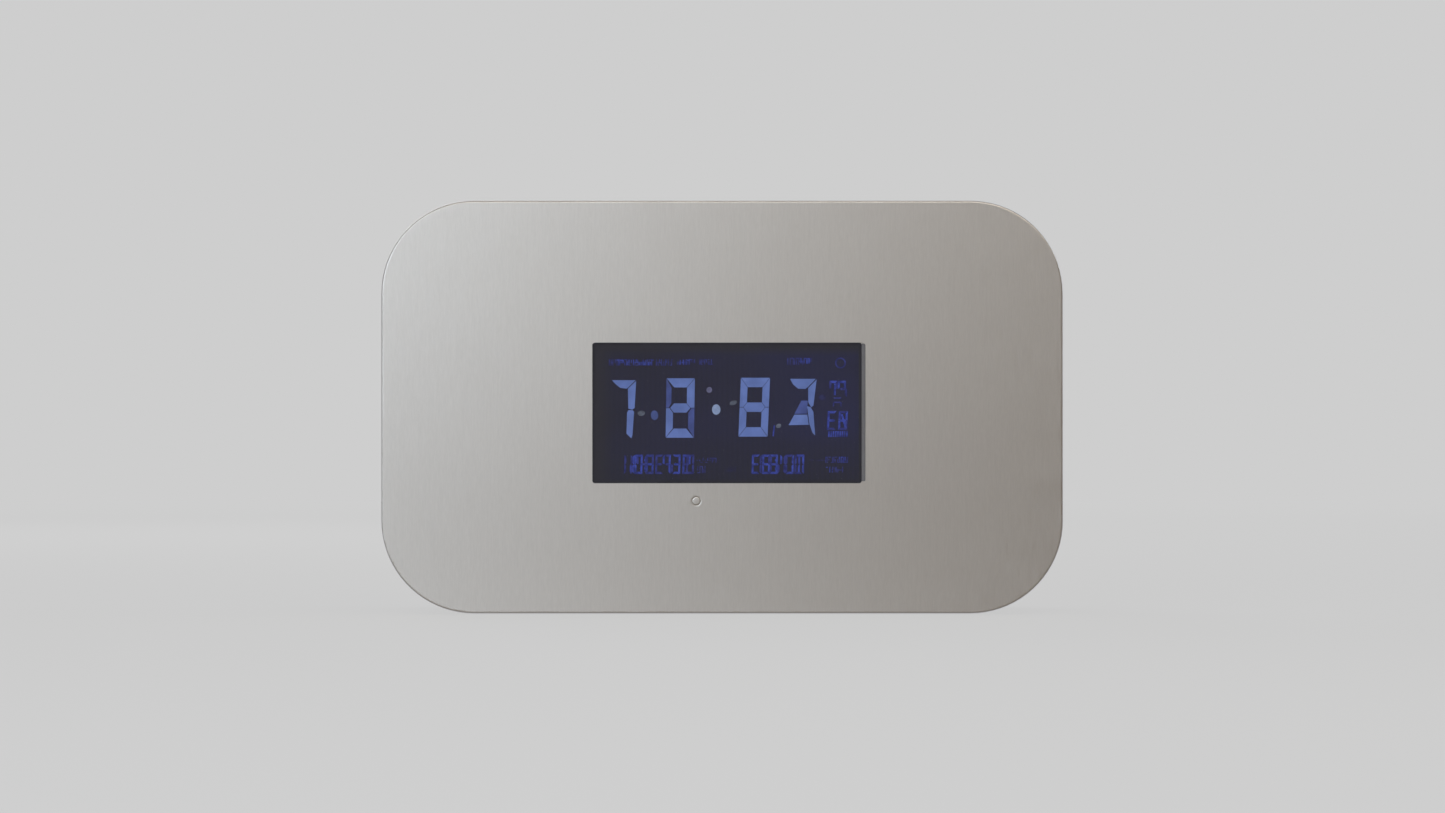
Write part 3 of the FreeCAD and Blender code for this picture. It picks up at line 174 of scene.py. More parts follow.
def shades(colour, spread):
    """A darker and a lighter version of a colour."""
    return [c * (1 - spread) for c in colour], [min(1.0, c * (1 + spread)) for c in colour]


def moulded(name, colour, roughness, grain, depth, spread=0.08, **sockets):
    """Moulded plastic with a spark-eroded grain and faint flow marks."""
    s = Surface(name, **sockets)
    flow = s.noise(30 * MM, 2.0)
    fine = s.noise(grain, 2.0)
    both = s.math("ADD", flow, s.math("MULTIPLY", fine, 0.5))
    dark, light = shades(colour, spread)
    s.colour(s.mix(s.ramp(both, 0.55, 0.95, 0, 1), dark, light))
    s.rough(s.noise(6 * MM, 3.0), roughness - 0.05, roughness + 0.06)
    s.bump(fine, depth)
    return s.material


def metal(name, colour, roughness, stretch, grain, depth=0.006 * MM):
    """Metal with a fine directional grain, a few stains and uneven gloss."""
    s = Surface(name, Metallic=1.0)
    grainy = s.noise(grain, 3.0, stretch)
    stains = s.noise(18 * MM, 3.0)
    both = s.math("ADD", grainy, stains)
    dark, light = shades(colour, 0.06)
    s.colour(s.mix(s.ramp(both, 0.75, 1.25, 0, 1), dark, light))
    s.rough(s.math("MULTIPLY", both, 0.5), roughness - 0.06, roughness + 0.08)
    s.bump(grainy, depth)
    return s.material


def brushed_face(name, colour, roughness):
    """The face's satin metal, with very fine short streaks that run up and down."""
    s = Surface(name, Metallic=1.0, Anisotropic=0.25)
    tangent = s.add("ShaderNodeTangent", direction_type="RADIAL", axis="Z")
    s.link(tangent.outputs["Tangent"], s.shader.inputs["Tangent"])
    streaks = s.noise(0.3 * MM, 2.0, (1, 1, 0.1), 0.6)
    long_streaks = s.noise(0.9 * MM, 3.0, (1, 1, 0.05), 0.6)
    both = s.math("ADD", s.math("MULTIPLY", streaks, 0.65), s.math("MULTIPLY", long_streaks, 0.35))
    dark, light = shades(colour, 0.03)
    s.colour(s.mix(s.ramp(both, 0.35, 0.65, 0, 1), dark, light))
    s.rough(s.noise(0.5 * MM, 2.0, (1, 1, 0.05)), roughness - 0.04, roughness + 0.04)
    s.bump(both, 0.002 * MM)
    return s.material


def rubbery(name, colour, roughness):
    """Matte rubber with fine pores and a dusty bloom."""
    s = Surface(name)
    bloom = s.noise(9 * MM, 4.0)
    pores = s.cells(0.5 * MM)
    s.colour(s.mix(s.ramp(bloom, 0.35, 0.75, 0, 1), colour, [c * 1.9 + 0.01 for c in colour]))
    s.rough(bloom, roughness - 0.06, roughness + 0.1)
    s.bump(pores, 0.03 * MM, 0.6)
    return s.material


def circuit_board(name):
    """Green solder mask over square-cornered tracks."""
    s = Surface(name, Coat_Weight=0.25, Coat_Roughness=0.15)
    tracks = s.cells(5 * MM, "CHEBYCHEV", (1, 0.01, 1))
    repeat = s.math("PINGPONG", tracks, 0.09)
    line = s.ramp(repeat, 0.035, 0.05, 0, 1)
    base = s.mix(s.noise(12 * MM), (0.008, 0.072, 0.032), (0.014, 0.1, 0.045))
    s.colour(s.mix(line, base, (0.03, 0.19, 0.085)))
    s.rough(s.noise(2 * MM), 0.3, 0.42)
    s.bump(line, 0.03 * MM, 0.5)
    return s.material


def woven(name, colour):
    """Inked nylon ribbon."""
    s = Surface(name, Sheen_Weight=0.3)
    weave = s.math("MULTIPLY", s.bands(0.8 * MM, "X"), s.bands(0.8 * MM, "Z"))
    worn = s.noise(8 * MM, 3.0, (0.2, 1, 1))
    s.colour(s.mix(s.math("MULTIPLY", weave, worn), colour, [c * 3 + 0.02 for c in colour]))
    s.rough(worn, 0.55, 0.75)
    s.bump(weave, 0.05 * MM)
    return s.material


def clear_window(name):
    """Polished acrylic: clear, with a trace of haze."""
    s = Surface(name, Transmission_Weight=1.0, IOR=1.49, Specular_IOR_Level=0.2)
    s.colour(s.mix(s.noise(25 * MM, 3.0), (0.97, 0.975, 0.99), (1, 1, 1)))
    s.rough(s.noise(3 * MM, 3.0), 0.0, 0.012)
    s.bump(s.noise(40 * MM, 2.0), 0.004 * MM, 0.3)
    return s.material


def glowing(name, roughness, gloss):
    """A surface seen mostly by its own emission: the display's parts and the stage's floor."""
    return Surface(name, Roughness=roughness, Specular_IOR_Level=gloss, Emission_Strength=1.0)


def display_glass(name):
    """Dark cell: navy in the middle and upper right, greyer towards the left and upper edges."""
    lo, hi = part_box("lcd_glass")
    s = glowing(name, 0.4, 0.06)
    from_left = s.ramp(s.axis("X"), lo.x + 1 * MM, lo.x + 7 * MM, 0, 1)
    from_top = s.ramp(s.axis("Z"), hi.z - 1 * MM, hi.z - 4 * MM, 0, 1)
    from_bottom = s.ramp(s.axis("Z"), lo.z, lo.z + 17 * MM, 0, 1)
    inner = s.math("MULTIPLY", from_left, from_top)
    to_right = s.ramp(s.axis("X"), lo.x, hi.x, 0.5, 1.15)
    cloud = s.math("MULTIPLY", s.noise(45 * MM, 2.0, (1, 1, 1.4)), to_right)
    field = s.mix(s.ramp(cloud, 0.22, 0.62, 0, 1), (0.0185, 0.0215, 0.035), (0.0195, 0.0235, 0.055))
    field = s.mix(from_bottom, (0.0185, 0.022, 0.036), field)
    lines = s.ramp(s.bands(6 * MM, "X"), 0.0, 1.0, 0.0, 0.08)
    field = s.mix(lines, field, (0.035, 0.036, 0.10))
    glow = s.mix(inner, (0.024, 0.0265, 0.036), field)
    s.colour(s.mix(s.noise(4 * MM), (0.002, 0.002, 0.004), (0.004, 0.004, 0.008)))
    s.link(glow, s.shader.inputs["Emission Color"])
    s.bump(s.noise(0.6 * MM), 0.002 * MM, 0.2)
    return s.material


def lit(name, colour, dark, size):
    """A lit display segment, whose patches of about size are as low as dark times its colour. The window's
    margin print and the gasket round the lens use it too, so they glow though no lamp is in them: painted
    light.
    """
    s = glowing(name, 0.6, 0.05)
    patchy = s.noise(size, 2.0)
    glow = s.mix(s.ramp(patchy, 0.35, 0.65, 0, 1), [c * dark for c in colour], colour)
    s.colour(s.mix(patchy, (0.004, 0.004, 0.008), (0.008, 0.008, 0.014)))
    s.link(glow, s.shader.inputs["Emission Color"])
    s.bump(patchy, 0.002 * MM, 0.2)
    return s.material


def striped_film(name):
    """Flat cable: pale film over tinned conductors at a pitch of about 2 mm."""
    s = Surface(name, Coat_Weight=0.4, Coat_Roughness=0.1)
    stripe = s.ramp(s.bands(6.3 * MM, "Z"), 0.45, 0.6, 0, 1)
    s.colour(s.mix(stripe, (0.62, 0.62, 0.6), (0.36, 0.37, 0.38)))
    s.rough(s.noise(2 * MM), 0.25, 0.4)
    s.bump(stripe, 0.03 * MM, 0.5)
    return s.material


def banded_cell(name):
    """Sleeved battery cell with a metal end."""
    lo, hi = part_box("battery_cells")
    s = Surface(name)
    end = s.math("GREATER_THAN", s.axis("Z"), hi.z - 1.6 * MM)
    band = s.math("LESS_THAN", s.axis("Z"), lo.z + 9 * MM)
    sleeve = s.mix(band, (0.015, 0.13, 0.06), (0.5, 0.5, 0.48))
    sleeve = s.mix(s.ramp(s.noise(5 * MM), 0.3, 0.7, 0, 0.2), sleeve, (0.05, 0.24, 0.14))
    s.colour(s.mix(end, sleeve, (0.65, 0.65, 0.63)))
    s.link(end, s.shader.inputs["Metallic"])
    s.rough(s.noise(2 * MM), 0.26, 0.4)
    s.bump(s.noise(0.8 * MM), 0.01 * MM)
    return s.material


MATERIALS = {
    "face": brushed_face("brushed_face", (0.60, 0.582, 0.56), 0.40),
    "button": brushed_face("button_face", (0.63, 0.60, 0.56), 0.34),
    "shell": moulded("shell_plastic", (0.055, 0.057, 0.06), 0.52, 0.45 * MM, 0.03 * MM),
    "black": moulded("black_plastic", (0.022, 0.022, 0.024), 0.42, 0.3 * MM, 0.012 * MM),
    "acetal": moulded("acetal", (0.74, 0.73, 0.68), 0.38, 0.6 * MM, 0.006 * MM, 0.04, Subsurface_Weight=0.08),
    "key": moulded("key_plastic", (0.26, 0.27, 0.29), 0.46, 0.3 * MM, 0.015 * MM),
    "guide": moulded("light_guide", (0.80, 0.82, 0.84), 0.2, 0.8 * MM, 0.003 * MM, 0.03),
    "component": moulded("component", (0.02, 0.02, 0.022), 0.5, 0.2 * MM, 0.01 * MM),
    "sheet": metal("zinc_sheet", (0.56, 0.57, 0.57), 0.36, (1, 1, 0.15), 0.5 * MM),
    "steel": metal("ground_steel", (0.52, 0.53, 0.54), 0.24, (0.2, 1, 1), 0.25 * MM),
    "alloy": metal("die_cast", (0.40, 0.41, 0.42), 0.46, (1, 1, 1), 0.5 * MM, 0.03 * MM),
    "brass": metal("turned_brass", (0.74, 0.53, 0.22), 0.26, (0.2, 1, 1), 0.3 * MM),
    "motor": metal("motor_can", (0.36, 0.37, 0.38), 0.33, (0.3, 1, 1), 0.6 * MM),
    "tin": metal("tinned", (0.66, 0.66, 0.64), 0.28, (1, 1, 1), 0.3 * MM),
    "rubber": rubbery("rubber", (0.028, 0.028, 0.03), 0.72),
    "board": circuit_board("circuit_board"),
    "ribbon": woven("ink_ribbon", (0.012, 0.01, 0.022)),
    "window": clear_window("clear_window"),
    "display": display_glass("display_glass"),
    "film": striped_film("cable_film"),
    "cell": banded_cell("battery_cell"),
    "bright": lit("segment_bright", (0.118, 0.180, 0.44), 0.8, 6 * MM),
    "faded": lit("segment_faded", (0.061, 0.088, 0.265), 0.72, 5 * MM),
    "small": lit("segment_small", (0.043, 0.068, 0.36), 0.45, 2.2 * MM),
    "dim": lit("segment_dim", (0.034, 0.045, 0.21), 0.5, 2.0 * MM),
    "faint": lit("segment_faint", (0.024, 0.029, 0.09), 0.6, 1.5 * MM),
    "dot_grey": lit("dot_grey", (0.105, 0.125, 0.17), 0.55, 1.5 * MM),
    "dot_pale": lit("dot_pale", (0.235, 0.31, 0.49), 0.8, 2 * MM),
    "dot_blue": lit("dot_blue", (0.055, 0.085, 0.235), 0.8, 2 * MM),
    "dot_violet": lit("dot_violet", (0.135, 0.14, 0.25), 0.7, 1.5 * MM),
    # painted light: the margin print glows with its tone instead of being lit, and the gasket round the lens
    # glows with it too
    "margin": lit("glowing_window_margin", (0.025, 0.026, 0.033), 0.9, 9 * MM),
    # painted shade: a grey-blue strip that stands in for the shade in the step of the plate's ledge
    "strip": moulded("ledge_shade_strip", (0.175, 0.18, 0.205), 0.55, 0.5 * MM, 0.01 * MM),
    "chip_part": moulded("chip_part", (0.13, 0.09, 0.06), 0.42, 1.6 * MM, 0.004 * MM, 0.55),
    "print": moulded("pad_print", (0.62, 0.62, 0.6), 0.5, 0.3 * MM, 0.004 * MM),
}

NODE_MATERIALS = {
    "face": ["front_plate"],
    "button": ["set_button"],
    "shell": ["front_cover", "rear_housing", "battery_cover"],
    "black": [
        "card_slot_bezel", "dc_jack", "battery_tray", "keypad_panel", "ribbon_cassette",
        "print_carriage", "sensor_lever", "card_sensor",
    ],
    "acetal": [
        "feed_gear", "idler_gear", "drive_pulley", "tension_pulley", "feed_bushes", "ribbon_knob",
        "pinch_rollers",
    ],
    "key": ["key_mode", "key_adjust", "key_enter"],
    "guide": ["light_guide"],
    "component": ["display_parts", "board_parts"],
    "sheet": [
        "card_guide_front", "card_guide_rear", "card_rails", "frame_left", "frame_right", "cross_beams",
        "pinch_lever",
    ],
    "steel": [
        "hinge_pins", "frame_rods", "chassis_screws", "feed_shaft", "pinch_shaft", "pinch_springs",
        "guide_rods", "lock_body", "lock_cam",
    ],
    "alloy": ["print_head"],
    "brass": ["motor_pinion", "lock_plug"],
    "motor": ["feed_motor", "carriage_motor"],
    "rubber": ["rubber_feet", "feed_rollers", "carriage_belt", "platen", "contact_strips"],
    "board": ["display_board", "main_board", "keypad_board"],
    "ribbon": ["ink_ribbon"],
    "window": ["window_lens"],
    "display": ["lcd_glass"],
    "film": ["display_cable"],
    "cell": ["battery_cells"],
}
for finish, names in NODE_MATERIALS.items():
    for node_name in names:
        for material_slot in nodes[node_name].material_slots:
            material_slot.material = MATERIALS[finish]


# ---------------------------------------------------------------- mesh helpers
def new_piece(name, bm, finish, body, smooth=False):
    """A piece made from bm, which rides on body; without a body it rides on nothing."""
    mesh = bpy.data.meshes.new(name)
    bmesh.ops.recalc_face_normals(bm, faces=bm.faces)
    bm.to_mesh(mesh)
    bm.free()
    mesh.materials.append(MATERIALS[finish])
    for face in mesh.polygons:
        face.use_smooth = smooth
    obj = bpy.data.objects.new(name, mesh)
    bpy.context.scene.collection.objects.link(obj)
    if body:
        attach(obj, body)
    return obj


def add_prism(bm, outline, back, front):
    """An outline of (x, z) points in the face's plane, given a thickness along Y."""
    low = [bm.verts.new((x, front, z)) for x, z in outline]
    high = [bm.verts.new((x, back, z)) for x, z in outline]
    bm.faces.new(low)
    bm.faces.new(high[::-1])
    count = len(outline)
    for i in range(count):
        j = (i + 1) % count
        bm.faces.new((low[i], high[i], high[j], low[j]))


def add_block(bm, lo, hi, round_by):
    """A block with its edges rounded."""
    made = bmesh.ops.create_cube(bm, size=1)["verts"]
    for v in made:
        for k in range(3):
            v.co[k] = lo[k] if v.co[k] < 0 else hi[k]
    edges = list({e for v in made for e in v.link_edges})
    bmesh.ops.bevel(bm, geom=edges, offset=round_by, segments=2, profile=0.5, affect="EDGES")


def circle_angles(count):
    """The angles of count points, evenly spaced round a circle."""
    return [2 * math.pi * k / count for k in range(count)]


def ellipse(x, z, rx, rz, tilt=0.0):
    """Points round an ellipse, tilted in the face's plane."""
    points = []
    for a in circle_angles(28):
        u, v = rx * math.cos(a), rz * math.sin(a)
        points.append((
            x + u * math.cos(tilt) - v * math.sin(tilt),
            z + u * math.sin(tilt) + v * math.cos(tilt),
        ))
    return points


def circle(x, z, radius):
    return ellipse(x, z, radius, radius)


def skin(bm, rings, closed=False):
    """Faces between rings of points, each ring in the same order; closed joins the last ring to the first."""
    loops = [[bm.verts.new(point) for point in ring] for ring in rings]
    if closed:
        loops.append(loops[0])
    for first, second in zip(loops, loops[1:]):
        count = len(first)
        for i in range(count):
            j = (i + 1) % count
            bm.faces.new((first[i], first[j], second[j], second[i]))
    if not closed:
        bm.faces.new(loops[0][::-1])
        bm.faces.new(loops[-1])


def add_turned(bm, x, z, profile, hollow=False):
    """A shape turned about an axis along Y, from (radius, y) points; a hollow one has an open middle."""
    rings = []
    for radius, y in profile:
        rings.append([(x + radius * math.cos(a), y, z + radius * math.sin(a)) for a in circle_angles(40)])
    skin(bm, rings, closed=hollow)


def add_ring(bm, outer, inner, back, front):
    """A flat ring between two outlines with the same number of points."""
    around = ((outer, front), (inner, front), (inner, back), (outer, back))
    skin(bm, [[(x, y, z) for x, z in outline] for outline, y in around], closed=True)


# ---------------------------------------------------------------- display
glass_lo, glass_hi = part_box("lcd_glass")
lens_lo, lens_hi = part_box("window_lens")
SEGMENT_BACK = glass_lo.y - 0.012 * MM
SEGMENT_FRONT = glass_lo.y - 0.05 * MM
GAP = 0.1 * MM


def at(u, v):
    """A place on the display, in millimetres right of and below the window's upper left corner."""
    return (lens_lo.x + u * MM, lens_hi.z - v * MM)


def segment_outlines(width, height, bar, post, gap):
    """The seven segments of a digit with mitred corners, as (x, z) from its lower left corner."""
    w, h, m = width, height, height / 2
    half = bar / 2
    right_top = [
        (w, h - gap), (w, m + gap), (w - post / 2, m + gap),
        (w - post, m + half + gap), (w - post, h - bar - gap),
    ]
    return {
        "a": [(gap, h), (w - gap, h), (w - post - gap, h - bar), (post + gap, h - bar)],
        "b": right_top,
        "c": [(x, h - z) for x, z in right_top],
        "d": [(gap, 0), (w - gap, 0), (w - post - gap, bar), (post + gap, bar)],
        "e": [(w - x, h - z) for x, z in right_top],
        "f": [(w - x, z) for x, z in right_top],
        "g": [
            (post / 2 + gap, m), (post + gap, m + half), (w - post - gap, m + half),
            (w - post / 2 - gap, m), (w - post - gap, m - half), (post + gap, m - half),
        ],
    }


def add_digit(bm, u, v, size, strokes, lit_segments, lean, gap=GAP):
    """Segments of one digit whose upper left corner is at (u, v) millimetres.

    size is its width and height, strokes the thickness of its level bars and of its upright posts.
    """
    width, height = (s * MM for s in size)
    bar, post = (s * MM for s in strokes)
    x0, z1 = at(u, v)
    outlines = segment_outlines(width, height, bar, post, gap)
    for key in lit_segments:
        shape = [(x0 + x + (z - height) * lean, z1 - height + z) for x, z in outlines[key]]
        add_prism(bm, shape, SEGMENT_BACK, SEGMENT_FRONT)


def add_outline(bm, points):
    """A free outline, given in millimetres on the display."""
    add_prism(bm, [at(u, v) for u, v in points], SEGMENT_BACK, SEGMENT_FRONT)


FIRST_DIGIT = (
    ((7.1, 13.7), (15.75, 13.7), (13.0, 16.4), (12.5, 16.8), (10.1, 16.5), (8.6, 15.3)),
    ((15.95, 13.95), (15.4, 23.9), (14.6, 24.5), (13.1, 24.1), (12.95, 16.8)),
    ((13.2, 24.65), (14.7, 24.75), (15.2, 25.3), (14.6, 33.8), (14.2, 35.0), (12.4, 33.3), (12.65, 25.5)),
)
LAST_DIGIT = (
    ((72.45, 13.2), (81.9, 13.2), (79.1, 16.1), (78.1, 16.9), (75.4, 16.8), (73.6, 15.3)),
    ((82.2, 13.4), (81.0, 23.0), (80.2, 23.7), (79.15, 21.8), (79.1, 16.6)),
    ((78.7, 23.2), (80.0, 23.6), (81.0, 25.3), (81.65, 34.0), (80.7, 33.0), (79.5, 29.6)),
    ((74.0, 26.35), (78.75, 26.35), (79.3, 30.05), (71.9, 30.2)),
)


def display_digits():
    """The four large digits; the last one is only partly lit."""
    bright, faded = bmesh.new(), bmesh.new()
    for bm, post, keys in ((bright, 2.8, "abdg"), (bright, 2.55, "e"), (faded, 1.9, "f"), (faded, 2.2, "c")):
        add_digit(bm, 27.1, 13.0, (10.4, 21.8), (3.35, post), keys, 0.015)
    add_digit(bright, 54.4, 12.8, (10.7, 21.6), (3.45, 2.6), "abcdefg", 0.042)
    for outline in FIRST_DIGIT + LAST_DIGIT:
        add_outline(bright, outline)
    add_outline(faded, [(76.6, 21.2), (78.95, 21.2), (78.6, 25.95), (74.0, 26.05)])
    new_piece("display_digits", bright, "bright", "door")
    new_piece("display_digits_faded", faded, "faded", "door")


def display_dots():
    """Colon and other dots."""
    dots = (
        ("dot_violet", 42.8, 17.25, 1.05, 1.05, 0.0),
        ("dot_pale", 45.35, 24.45, 1.55, 1.9, 0.0),
        ("dot_grey", 17.85, 25.8, 1.35, 0.95, 0.1),
        ("dot_blue", 22.7, 26.55, 1.35, 1.75, 0.1),
        ("dot_grey", 51.6, 22.0, 1.45, 0.8, 0.35),
        ("dot_grey", 68.25, 30.45, 1.0, 0.75, 0.35),
        ("faint", 84.3, 20.0, 1.3, 1.0, 0.0),
    )
    for i, (finish, u, v, rx, rz, tilt) in enumerate(dots):
        bm = bmesh.new()
        x, z = at(u, v)
        add_prism(bm, ellipse(x, z, rx * MM, rz * MM, tilt), SEGMENT_BACK, SEGMENT_FRONT)
        new_piece(f"display_dot_{i}", bm, finish, "door")


def slanted(u_top, u_bottom, width, top, bottom):
    """Outline of an upright tick that leans from u_bottom to u_top."""
    return [(u_top, top), (u_top + width, top), (u_bottom + width, bottom), (u_bottom, bottom)]


def mark_row(bm, draw, first, last, top, bottom, share=0.9):
    """Tiny upright and level ticks side by side, like small indicators that don't resolve into characters."""
    tick, bar, slant = 0.3, 0.28, 0.04
    u = first
    while u < last:
        step = draw.choice((0.5, 0.65, 0.85))
        if draw.random() < share:
            rise = draw.choice((0.0, 0.0, 0.4)) * (bottom - top)
            fall = draw.choice((0.0, 0.0, 0.4)) * (bottom - top)
            add_outline(bm, slanted(u, u - slant, tick, top + rise, bottom - fall))
        if draw.random() < 0.6 * share:
            v = draw.choice((top, (top + bottom) / 2, bottom - tick))
            add_outline(bm, slanted(u, u, step, v, v + bar))
        u += step


def display_small_digits():
    """Small digits in two rows and a column, each with other segments lit, and rows of tiny marks."""
    small, dim, faint = bmesh.new(), bmesh.new(), bmesh.new()
    size, strokes, gap = (2.9, 7.1), (0.8, 0.72), 0.07 * MM
    left_row = (
        (dim, 11.7, "ef"), (small, 11.6, "c"), (small, 12.5, "bc"), (dim, 14.0, "bef"),
        (small, 15.5, "abcdef"), (dim, 17.0, "bcg"), (small, 19.6, "aceg"), (dim, 19.6, "bdf"),
        (dim, 23.1, "adefg"), (small, 23.6, "b"), (small, 25.8, "bc"), (dim, 26.3, "ag"),
        (small, 29.4, "abcdg"), (dim, 28.9, "e"), (dim, 33.0, "adg"), (small, 33.1, "abef"),
        (dim, 34.4, "abcdef"),
    )
    right_row = (
        (small, 58.5, "adefg"), (dim, 59.2, "bc"), (small, 62.3, "acdefg"), (dim, 62.3, "b"),
        (small, 65.1, "abcdg"), (dim, 65.1, "ef"), (dim, 68.0, "bce"), (small, 68.9, "f"),
        (small, 71.0, "bcd"), (dim, 70.8, "aef"), (small, 73.3, "bc"), (dim, 74.2, "adef"),
        (small, 74.8, "abc"),
    )
    for bm, u, keys in left_row + right_row:
        add_digit(bm, u, 41.0, size, strokes, keys, 0.03, gap)
    for u in (18.9, 66.9):
        for v in (42.6, 45.7):
            add_outline(small, slanted(u, u, 0.6, v, v + 0.8))
    for bm, u, keys in ((small, 86.9, "a"), (dim, 86.9, "bf"), (small, 90.0, "abf"), (dim, 90.4, "cg")):
        add_digit(bm, u, 13.9, (3.0, 6.0), (0.85, 0.75), keys, 0.02, gap)
    add_outline(small, slanted(88.7, 88.5, 0.7, 14.9, 19.2))
    add_digit(dim, 88.2, 20.0, (3.2, 3.6), (0.5, 0.5), "aceg", 0.02, gap)
    for bm, u, keys in ((small, 86.3, "aefg"), (dim, 86.3, "d"), (small, 90.4, "befg"), (dim, 90.4, "acd")):
        add_digit(bm, u, 25.0, (3.3, 7.0), (0.85, 0.75), keys, 0.05, gap)
    add_outline(small, slanted(91.0, 92.5, 0.8, 26.2, 31.2))
    for k in range(9):
        u = 86.5 + 0.82 * k
        add_outline(small, slanted(u, u - 0.1, 0.55, 32.4, 34.5))
    add_outline(small, slanted(66.4, 66.0, 0.5, 30.3, 34.3))
    draw = random.Random(7)
    mark_rows = (
        (small, 8.7, 22.3, 6.2, 8.2), (dim, 6.0, 29.0, 6.0, 8.3), (dim, 31.0, 43.6, 6.0, 8.0),
        (small, 32.0, 35.6, 6.2, 8.0), (dim, 71.5, 80.2, 5.5, 8.0), (small, 75.5, 79.5, 5.6, 7.6),
        (dim, 38.2, 45.3, 42.2, 44.0), (dim, 38.4, 41.3, 45.2, 47.8), (faint, 49.0, 52.2, 45.6, 47.2),
        (faint, 79.4, 85.0, 42.8, 43.3, 0.7), (dim, 85.4, 93.6, 41.8, 44.0), (small, 90.4, 92.6, 41.8, 44.0),
        (small, 85.6, 88.0, 45.5, 47.5), (dim, 88.0, 92.0, 45.5, 47.5),
    )
    for bm, *place in mark_rows:
        mark_row(bm, draw, *place)
    ring_at = at(90.95, 7.35)
    add_ring(dim, circle(*ring_at, 2.0 * MM), circle(*ring_at, 1.5 * MM), SEGMENT_BACK, SEGMENT_FRONT)
    new_piece("display_small_digits", small, "small", "door")
    new_piece("display_dim_digits", dim, "dim", "door")
    new_piece("display_faint_marks", faint, "faint", "door")


def grown(lo, hi, by):
    """A box's rectangle in the face's plane, (low x, high x, low z, high z), grown on every side."""
    return (lo.x - by, hi.x + by, lo.z - by, hi.z + by)


def frame_ring(bm, outside, inside, back, front, corner, inner_corner=0.1 * MM):
    """A flat frame between two rectangles with rounded corners."""

    def rounded(rect, radius):
        points = []
        for side_x, side_z, start in ((1, 1, 0), (0, 1, 90), (0, 0, 180), (1, 0, 270)):
            cx = rect[1] - radius if side_x else rect[0] + radius
            cz = rect[3] - radius if side_z else rect[2] + radius
            for k in range(7):
                a = math.radians(start + 15 * k)
                points.append((cx + radius * math.cos(a), cz + radius * math.sin(a)))
        return points

    add_ring(bm, rounded(outside, corner), rounded(inside, inner_corner), back, front)


def window_trim():
    """The print behind the window's margin and the gasket round it, which both glow a dim grey in place of
    being lit (painted light), and a grey-blue strip on the plate's ledge that stands in for the shade in the
    ledge's step (painted shade).
    """
    corner = 0.9 * MM
    # The margin print glows a dim grey instead of being lit: painted light.
    bm = bmesh.new()
    outside, inside = grown(lens_lo, lens_hi, 0), grown(glass_lo, glass_hi, -0.3 * MM)
    frame_ring(bm, outside, inside, lens_hi.y - 0.01 * MM, lens_hi.y - 0.03 * MM, corner)
    new_piece("glowing_window_margin", bm, "margin", "door")
    # The gasket fills the gap round the lens, where shade falls, and glows the same dim grey: painted light
    # over shade.
    bm = bmesh.new()
    outside, inside = grown(lens_lo, lens_hi, 0.09 * MM), grown(lens_lo, lens_hi, 0.01 * MM)
    frame_ring(bm, outside, inside, lens_hi.y - 0.05 * MM, lens_lo.y + 0.15 * MM, corner, 0.85 * MM)
    new_piece("glowing_window_gasket", bm, "margin", "door")
    # A grey-blue strip on the ledge's floor, in place of the shade in the ledge's step: painted shade.
    bm = bmesh.new()
    ledge_y = FACE_Y + 0.8 * MM
    add_block(
        bm,
        (lens_hi.x + 0.12 * MM, ledge_y - 0.45 * MM, lens_lo.z + 0.7 * MM),
        (lens_hi.x + 1.42 * MM, ledge_y - 0.02 * MM, lens_hi.z - 0.3 * MM),
        0.12 * MM,
    )
    new_piece("window_ledge_shade_strip", bm, "strip", "door")


def button_cap():
    """The set button as a barely domed cap, and a soft collar that fills the step round it."""
    lo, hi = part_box("set_button")
    x, z = (lo.x + hi.x) / 2, (lo.z + hi.z) / 2
    dome = ((0.05, 0.03), (0.6, 0.033), (1.1, 0.042), (1.35, 0.056), (1.48, 0.085), (1.55, 0.18))
    profile = [(radius * MM, FACE_Y + depth * MM) for radius, depth in dome]
    stem_radius, flange_radius, flange_front = 1.55 * MM, 2.6 * MM, hi.y - 0.9 * MM
    profile += [(stem_radius, flange_front), (flange_radius, flange_front), (flange_radius, hi.y)]
    bm = bmesh.new()
    add_turned(bm, x, z, profile)
    cap = new_piece("set_button_cap", bm, "face", "set_button_body")
    smooth_to = FACE_Y + 0.25 * MM
    for face in cap.data.polygons:
        face.use_smooth = face.center.y < smooth_to
    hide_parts("set_button")
    bm = bmesh.new()
    section = ((1.61, 0.06), (1.9, 0.025), (2.28, 0.012), (2.28, 0.43), (1.78, 0.43), (1.61, 0.4))
    add_turned(bm, x, z, [(radius * MM, FACE_Y + depth * MM) for radius, depth in section], hollow=True)
    new_piece("set_button_collar", bm, "face", "door")


display_digits()
display_dots()
button_cap()
display_small_digits()
window_trim()


